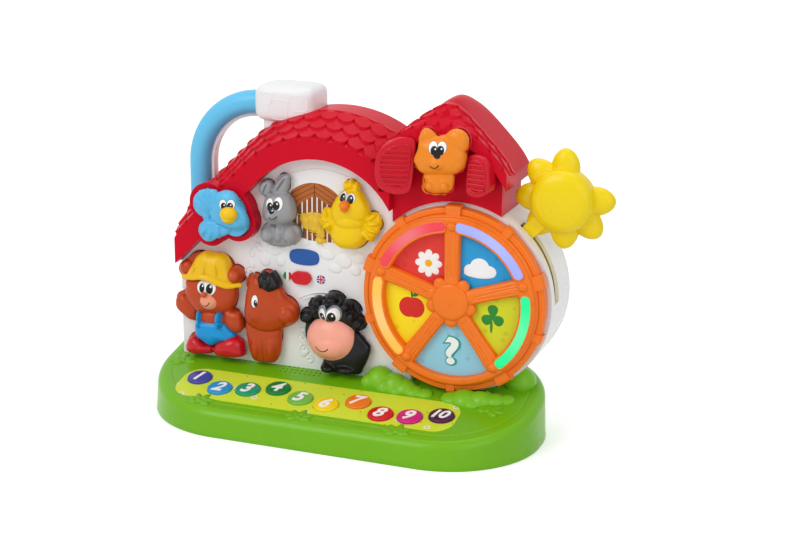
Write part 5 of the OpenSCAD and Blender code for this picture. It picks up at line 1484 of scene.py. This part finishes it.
def spoke(turn):
    """Plank from hub to rim: across it a crown with three grooves, along it a slight waist, turned into
    place"""
    s = np.linspace(0, 1, 30)[:, None]
    c = np.linspace(-1, 1, 49)[None, :]
    start, reach, groove_half, groove_deep, rise, foot = 12, 54, 0.07, 0.5, 2.2, -4.4
    half = 6.4 + 0.9 * s - 0.6 * np.sin(math.pi * s)
    sway = 0.08 * np.sin(5 * s + turn)
    groove = sum(np.exp(-(line / groove_half) ** 2) for line in (c - 0.5 - sway, c + sway, c + 0.5 - sway))
    crown = rise * (1 - np.abs(c) ** 6) - groove_deep * groove
    p, f = slab(points_at(start + reach * s, half * c, crown).swapaxes(0, 1), foot)
    return points_at(*swung(0.0, 0.0, p[:, 0], p[:, 1], turn), p[:, 2]), f


LAMPS = (("red", 126, "D93C4A"), ("blue", 55.5, "96A0F0"), ("green", -20, "1BE28C"), ("amber", 198, "F7B24A"))
FACE_Y = -7.0
PICTURE_Y = FACE_Y + 3.95
LENS_R, LENS_HALF, LENS_REACH = 63, 4.6, 32


def lens_edge(turn, t, c):
    """Points of a light window: along an arc of one radius, across it a half width that closes round at
    both ends"""
    left = (1 - np.abs(t)) * math.radians(LENS_REACH) * LENS_R
    half = LENS_HALF * np.sqrt(1 - np.clip(1 - left / LENS_HALF, 0, 1) ** 2)
    far = LENS_R + half * c
    a = np.radians(turn + LENS_REACH * t)
    return far * np.cos(a), far * np.sin(a), half


def lens(turn):
    """Light window: a low crown over that outline"""
    t = np.linspace(-1, 1, 120)[:, None]
    c = np.sin(np.linspace(-math.pi / 2, math.pi / 2, 17))[None, :]
    x, z, half = lens_edge(turn, t, c)
    top = points_at(x, z, 2.4 + 0.3 * half * np.sqrt(1 - c ** 2))
    return on_wheel(slab(top.swapaxes(0, 1), 1.2), FACE_Y)


def lens_lip(turn):
    """Raised lip round a light window"""
    t = np.linspace(-1, 1, 120)
    outer, inner = lens_edge(turn, t, 1.0), lens_edge(turn, t[::-1], -1.0)
    path = [np.concatenate([outer[i], inner[i]]) for i in (0, 1)]
    return tube(points_at(*path, 2.3)[:-1], 1.1)


def wheel_body():
    """Rim with raised outer bands and clamps; before it the face with lips round its windows, knuckles,
    five planks and the hub"""
    fifths = 90 + 72 * np.arange(5)
    rim = [ring_band(66.0, 77.0, -4.4, 2.6, 1.6), ring_band(70.5, 77.2, 0.0, 4.2, 1.6),
           ring_band(72.6, 74.4, 3.0, 4.9, 0.7), ring_band(64.0, 72.4, -4.4, 7.4, 3.6)]
    for inner, outer, high, soft, shift, half, around in ((67.5, 79.6, 6.6, 2.8, 0, 4.6, 20),
                                                          (70.0, 79.4, 5.6, 2.4, -36, 2.6, 14)):
        rim += [ring_band(inner, outer, -3.0, high, soft, turn + shift - half, turn + shift + half, around)
                for turn in fifths]
    face = [ring_band(57.2, 70.4, -11.0, 2.4, 1.8, -54, 234, 220),
            ring_band(64.0, 70.4, -11.0, 2.4, 1.8, 234, 306, 60)]
    face += [lens_lip(turn) for _, turn, _ in LAMPS]
    face += [spoke(turn) for turn in fifths]
    face += [pillow(*swung(0, 0, 63, 0, turn), 4.8, 4.8, 5.4, foot=0.5, around=48) for turn in fifths]
    face += [pillow(*swung(0, 0, 16.5, 0, 36 * i + 18), 5.4, 5.4, 2.9, foot=1.0, around=40)
             for i in range(10)]
    hub = [(0.0, 4.6), (8.0, 4.6), (13.0, 4.3), (15.0, 3.5), (15.6, 2.2), (15.6, -4.4), (0.0, -4.4)]
    face.append(turned(hub, 0, 0))
    return joined([on_wheel(joined(rim), -0.1), on_wheel(joined(face), FACE_Y)])


def sector(turn, outer):
    """Printed sheet of one window: radius and angle span a flat, thin sector"""
    r = np.linspace(15, outer, 12)[:, None]
    t = np.radians(turn + np.linspace(-34, 34, 40))[None, :]
    return on_wheel(slab(points_at(r * np.cos(t), r * np.sin(t), 0.25), -0.1), FACE_Y + 4.2)


def motif(rows):
    """Flat picture of low pillows on a window's sheet: rows of x, z, half sizes and turn about the wheel's
    axis"""
    return on_wheel(joined(pillow(x, z, a, b, 0.45, turn, foot=0.1, point=pt, around=40, rings=6)
                           for x, z, a, b, turn, pt in rows), PICTURE_Y)


def sign_mark(name, swell, depth):
    """Question mark as a flat mesh on the bottom window, swollen by an offset"""
    settings = {"size": 31.0, "offset": swell, "extrude": 0.1}
    stretch, middle = np.array([1.32, 1.0, 1.0]), np.array([0.0, -43.0, depth])
    return lettering(name, "?", settings, lambda flat: on_wheel((flat * stretch + middle, None),
                                                                PICTURE_Y)[0])


class FARM_OT_wheel(bpy.types.Operator):
    """Orange wheel with lit windows, pictures, drum and what lies inside it"""
    bl_idname = "farm.wheel"
    bl_label = "Wheel"

    def execute(self, context):
        # the frame's darker flecks are painted shade in its grain
        orange = plastic("wheel_orange", tone("wheel"), ground=wood_grain)
        piece("wheel_body", wheel_body(), orange, "case", ("wheel_frame",), crease=45)
        white = plastic("drum_white", tone("white"), spread=0.05)
        paint(white, "mill_drum", "drum_back")
        paint(plastic("picture_card", linear("F6E020"), gloss=0.4), "picture_disc")
        for name, angle, code in LAMPS:
            glow = lamp_window("lamp_" + name, linear(code), angle)
            piece("lens_" + name, lens(angle), glow, "case", ("light_" + name,))
        for name, turn, outer, code in (("red", 126, 59, "E23C34"), ("blue", 54, 59, "2C9EDC"),
                                        ("lime", -18, 59, "D4DC28"), ("yellow", 198, 59, "FAE21C"),
                                        ("sky", 270, 66, "94D0E6")):
            card = plastic("card_" + name, linear(code), gloss=0.36, coat=0.05, ground=card_sprigs)
            piece("card_" + name, sector(turn, outer), card, "case")
        daisy = [(*swung(-21, 29, 6.5, 0, turn), 5.0, 3.0, turn, -0.2) for turn in range(0, 360, 45)]
        clover = [(*swung(34, -10, 5, 0, turn), 5.0, 4.2, turn, -0.3) for turn in (90, 210, 330)]
        pictures = (("daisy", "F7F7F5", daisy), ("heart", "F2B414", [(-21, 29, 4.0, 4.0, 0, 0)]),
                    ("cloud", "F4F6F8", [(15, 27, 6, 5, 0, 0), (22, 30, 8, 7.5, 0, 0), (30, 27, 6, 5, 0, 0),
                                         (22, 24.5, 13, 3.6, 0, 0)]),
                    ("clover", "2E8A34", clover + [(33, -18, 1.1, 6, 0, 0)]),
                    ("apple", "D42A22", [(-38, -10, 8, 8.6, 0, 0), (-32, -10, 8, 8.6, 0, 0)]),
                    ("stalk", "3C7A28", [(-35, 0.5, 0.9, 3.4, 10, 0), (-31, 1.5, 3.4, 1.6, 25, 0.2)]))
        for name, code, rows in pictures:
            print_ink = plastic("motif_" + name, linear(code), gloss=0.4, coat=0.05)
            piece("motif_" + name, motif(rows), print_ink, "case")
        for name, swell, depth, code in (("sign_edge", 2.0, 0.2, "2E9C98"),
                                         ("sign_face", 0.9, 0.35, "F4F8F8")):
            print_ink = plastic(name, linear(code), gloss=0.4, coat=0.05)
            finished(sign_mark(name, swell, depth), print_ink, "case")
        return {"FINISHED"}


# Sun

def sun_body():
    """Deep domed disc standing before seven broad round rays, the eighth place being the lever's"""
    profile = [(0.0, 17.0), (8.0, 16.8), (14.0, 16.0), (19.0, 14.6), (22.6, 12.6), (24.8, 9.8), (25.4, 6.5),
               (25.4, -3.0), (23.0, -6.0), (14.0, -8.0), (0.0, -9.0)]
    made = [on_wall(turned(profile, SUN_X, SUN_Z, around=120), SUN_Y)]
    lever_turn, ray_far, ray_back = 46, 27, 2.5
    for i in range(1, 8):
        turn = lever_turn + 45 * i
        x, z = swung(SUN_X, SUN_Z, ray_far, 0, turn)
        made.append(bead(x, SUN_Y + ray_back, z, 13.8, 11.6, 7.4, turn, point=0.14))
    return joined(made)


class FARM_OT_sun(bpy.types.Operator):
    """Sun on its swinging lever"""
    bl_idname = "farm.sun"
    bl_label = "Sun lever"

    def execute(self, context):
        yellow = plastic("sun_yellow", tone("sun"), gloss=0.28)
        body = loose("sun_body", sun_body())
        fuse(body, 0.7, 2)
        finished(body, yellow, "sun_lever", ("sun_front", "sun_back"), crease=70)
        paint(yellow, "lever_arm")
        return {"FINISHED"}


# Side house

def shutter(hinge, points, swing):
    """Leaf swung forward about its hinge: a flat cushion over its outline, a bead inside the border and
    ribs across it"""
    edge = np.asarray(points, float) - np.array([hinge, 0.0])
    loop = smooth_loop(edge, 96)
    middle = loop.mean(axis=0)
    inner = middle + (loop - middle) * 0.74
    lap = np.vstack([inner, inner[:2]])
    made = [puff(edge, 3.2, foot=8.0, full=0.22), tube(points_at(lap[:, 0], lap[:, 1], 3.2), 0.9)]
    low, high = inner[:, 1].min() + 2.5, inner[:, 1].max() - 2.5
    for z in np.arange(low, high, 3.9):
        reach = inner[np.abs(inner[:, 1] - z) < 2.2, 0]
        s = np.linspace(0, 1, 6)
        made.append(tube(points_at(reach.min() + np.ptp(reach) * s, z, 3.4), 1.25))
    p, f = joined(made)
    k, q = math.cos(math.radians(swing)), math.sin(math.radians(swing))
    right, front, up = 4.0, -7.0, 3.3
    x = hinge + right + p[:, 0] * k - np.sign(points[0][0] - hinge) * p[:, 2] * q
    return points_at(x, front - np.abs(p[:, 0]) * q - p[:, 2] * k, p[:, 1] + up), f


class FARM_OT_side_house(bpy.types.Operator):
    """Shutters of the red side house"""
    bl_idname = "farm.side_house"
    bl_label = "Side house"

    def execute(self, context):
        red = plastic("shutter_red", tone("roof"))
        left = [(33, 226.5), (35, 234), (41, 241), (52, 246.5), (62.5, 246), (65.5, 241), (64.5, 229),
                (63, 214), (60, 203), (49.5, 200.5), (37.5, 204.5), (33, 214)]
        right = [(111, 236), (120.5, 237.5), (126.5, 233), (129, 222.5), (128.5, 210), (121, 204),
                 (110.5, 205), (108.5, 211.5), (109, 224)]
        leaves = [shutter(66, left, 14), shutter(108, right, 14)]
        piece("shutter_leaves", joined(leaves), red, "case", ("shutters",), crease=50)
        return {"FINISHED"}


# Inside

class FARM_OT_inside(bpy.types.Operator):
    """Finishes of the pieces inside the case"""
    bl_idname = "farm.inside"
    bl_label = "Inside"

    def execute(self, context):
        paint(plastic("mat_rubber", linear("B4B4B0"), gloss=0.6, coat=0.0), "key_mat", "button_mat")
        paint(plastic("board_green", linear("1E6A3C"), gloss=0.35), "key_board", "button_board", "led_board")
        paint(plastic("speaker_black", linear("1A1A1C"), gloss=0.5, coat=0.0), "speaker")
        paint(plastic("cell_wrap", linear("3A3C40"), gloss=0.25), "batteries")
        paint(metal("contact_plate", linear("C8C6BE"), 0.3), "battery_contacts")
        paint(metal("screw_zinc", linear("B0B0B2"), 0.34), "case_screws", "lever_pin", "lever_spring")
        return {"FINISHED"}


# Stage

class FARM_OT_stage(bpy.types.Operator):
    """Pale floor, soft lights and the camera"""
    bl_idname = "farm.stage"
    bl_label = "Stage"

    def execute(self, context):
        scene = context.scene
        scene.view_settings.view_transform = "Standard"
        span = np.linspace(-6000, 6000, 3)
        x, y = np.meshgrid(span, span, indexing="ij")
        points, faces = faced(points_at(x, y, -0.05), wrap_cols=False)
        floor = loose("floor", (points, faces[:, ::-1]))
        floor.data.materials.append(self.floor_finish())
        self.world(scene)
        lamps = (("key", (-0.9, -1.5, 1.5), 1.3, 20), ("fill", (1.5, -1.2, 0.9), 1.5, 9),
                 ("top", (0.1, 0.5, 1.9), 1.4, 10))
        for name, place, width, watts in lamps:
            lamp = bpy.data.lights.new(name, "AREA")
            lamp.energy = watts
            lamp.size = width
            holder = shown(name, lamp)
            holder.location = place
            self.look(holder, (0, 0, 0.1))
        self.camera(scene)
        return {"FINISHED"}

    def look(self, holder, aim):
        """Turns a lamp or camera to a point"""
        way = Vector(aim) - holder.location
        holder.rotation_euler = way.to_track_quat("-Z", "Y").to_euler()

    def floor_finish(self):
        """White floor that keeps a soft shadow: lit white, with some light of its own for the camera"""
        material = bpy.data.materials.new("floor_white")
        material.use_nodes = True
        tree = material.node_tree
        shader = tree.nodes["Principled BSDF"]
        w = Wires(tree)
        tones = [(value, value, value, 1) for value in (0.80, 0.82)]
        w.put(shader.inputs["Base Color"], w.blend(w.noise(w.place()[0], 3.0), *tones))
        shader.inputs["Roughness"].default_value = 0.9
        shader.inputs["Specular IOR Level"].default_value = 0.1
        shader.inputs["Emission Color"].default_value = (1, 1, 1, 1)
        glow = w.math("MULTIPLY_ADD", w.step(w.math("ABSOLUTE", w.place()[2]), 200.0, 2200.0), 0.4, 0.42)
        w.put(shader.inputs["Emission Strength"], w.math("MULTIPLY", w.seen(), glow))
        return material

    def world(self, scene):
        """Even pale surround, white where the camera sees it"""
        world = bpy.data.worlds.new("surround")
        scene.world = world
        world.use_nodes = True
        tree = world.node_tree
        w = Wires(tree)
        back = tree.nodes["Background"]
        back.inputs["Color"].default_value = (1, 1, 1, 1)
        w.put(back.inputs["Strength"], w.math("MULTIPLY_ADD", w.seen(), 0.55, 0.45))

    def camera(self, scene):
        """Camera at the photograph's angle: 22 degrees round, 17 up, long lens, the toy left of the middle"""
        eye_point = bpy.data.cameras.new("camera")
        holder = shown("camera", eye_point)
        az, el, far = math.radians(22), math.radians(17), 1.4286
        aim = Vector((0.0, 0.016, 0.110))
        way = Vector((math.sin(az) * math.cos(el), -math.cos(az) * math.cos(el), math.sin(el)))
        holder.location = aim + far * way
        self.look(holder, aim)
        eye_point.sensor_width = 36.0
        eye_point.lens = 76.5
        eye_point.shift_x = 0.068
        eye_point.shift_y = 0.029
        eye_point.clip_end = 50.0
        scene.camera = holder


OPERATORS = (FARM_OT_stage, FARM_OT_base, FARM_OT_keys, FARM_OT_house, FARM_OT_roofs, FARM_OT_chimney,
             FARM_OT_handle, FARM_OT_bird, FARM_OT_rabbit, FARM_OT_chick, FARM_OT_bear, FARM_OT_horse,
             FARM_OT_sheep, FARM_OT_cat, FARM_OT_wheel, FARM_OT_sun, FARM_OT_side_house, FARM_OT_inside)


class FARM_PT_panel(bpy.types.Panel):
    """Sidebar list of the pieces, their sizes and their colours"""
    bl_idname = "FARM_PT_panel"
    bl_label = "Talking farm playset"
    bl_space_type = "VIEW_3D"
    bl_region_type = "UI"
    bl_category = "Farm"

    def draw(self, context):
        column = self.layout.column()
        for operator in OPERATORS:
            column.operator(operator.bl_idname)
        for group in (context.scene.farm_sizes, context.scene.farm_colours):
            for name in group.__annotations__:
                column.prop(group, name)


CLASSES = (FarmSizes, FarmColours, *OPERATORS, FARM_PT_panel)


def register():
    """Registers the classes and hangs the properties on the scene"""
    for item in CLASSES:
        bpy.utils.register_class(item)
    bpy.types.Scene.farm_sizes = bpy.props.PointerProperty(type=FarmSizes)
    bpy.types.Scene.farm_colours = bpy.props.PointerProperty(type=FarmColours)


def unregister():
    """Takes the properties and classes away again"""
    del bpy.types.Scene.farm_colours
    del bpy.types.Scene.farm_sizes
    for item in reversed(CLASSES):
        bpy.utils.unregister_class(item)


def main():
    """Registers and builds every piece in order"""
    register()
    for operator in OPERATORS:
        family, name = operator.bl_idname.split(".")
        getattr(getattr(bpy.ops, family), name)()


if __name__ == "__main__":
    main()
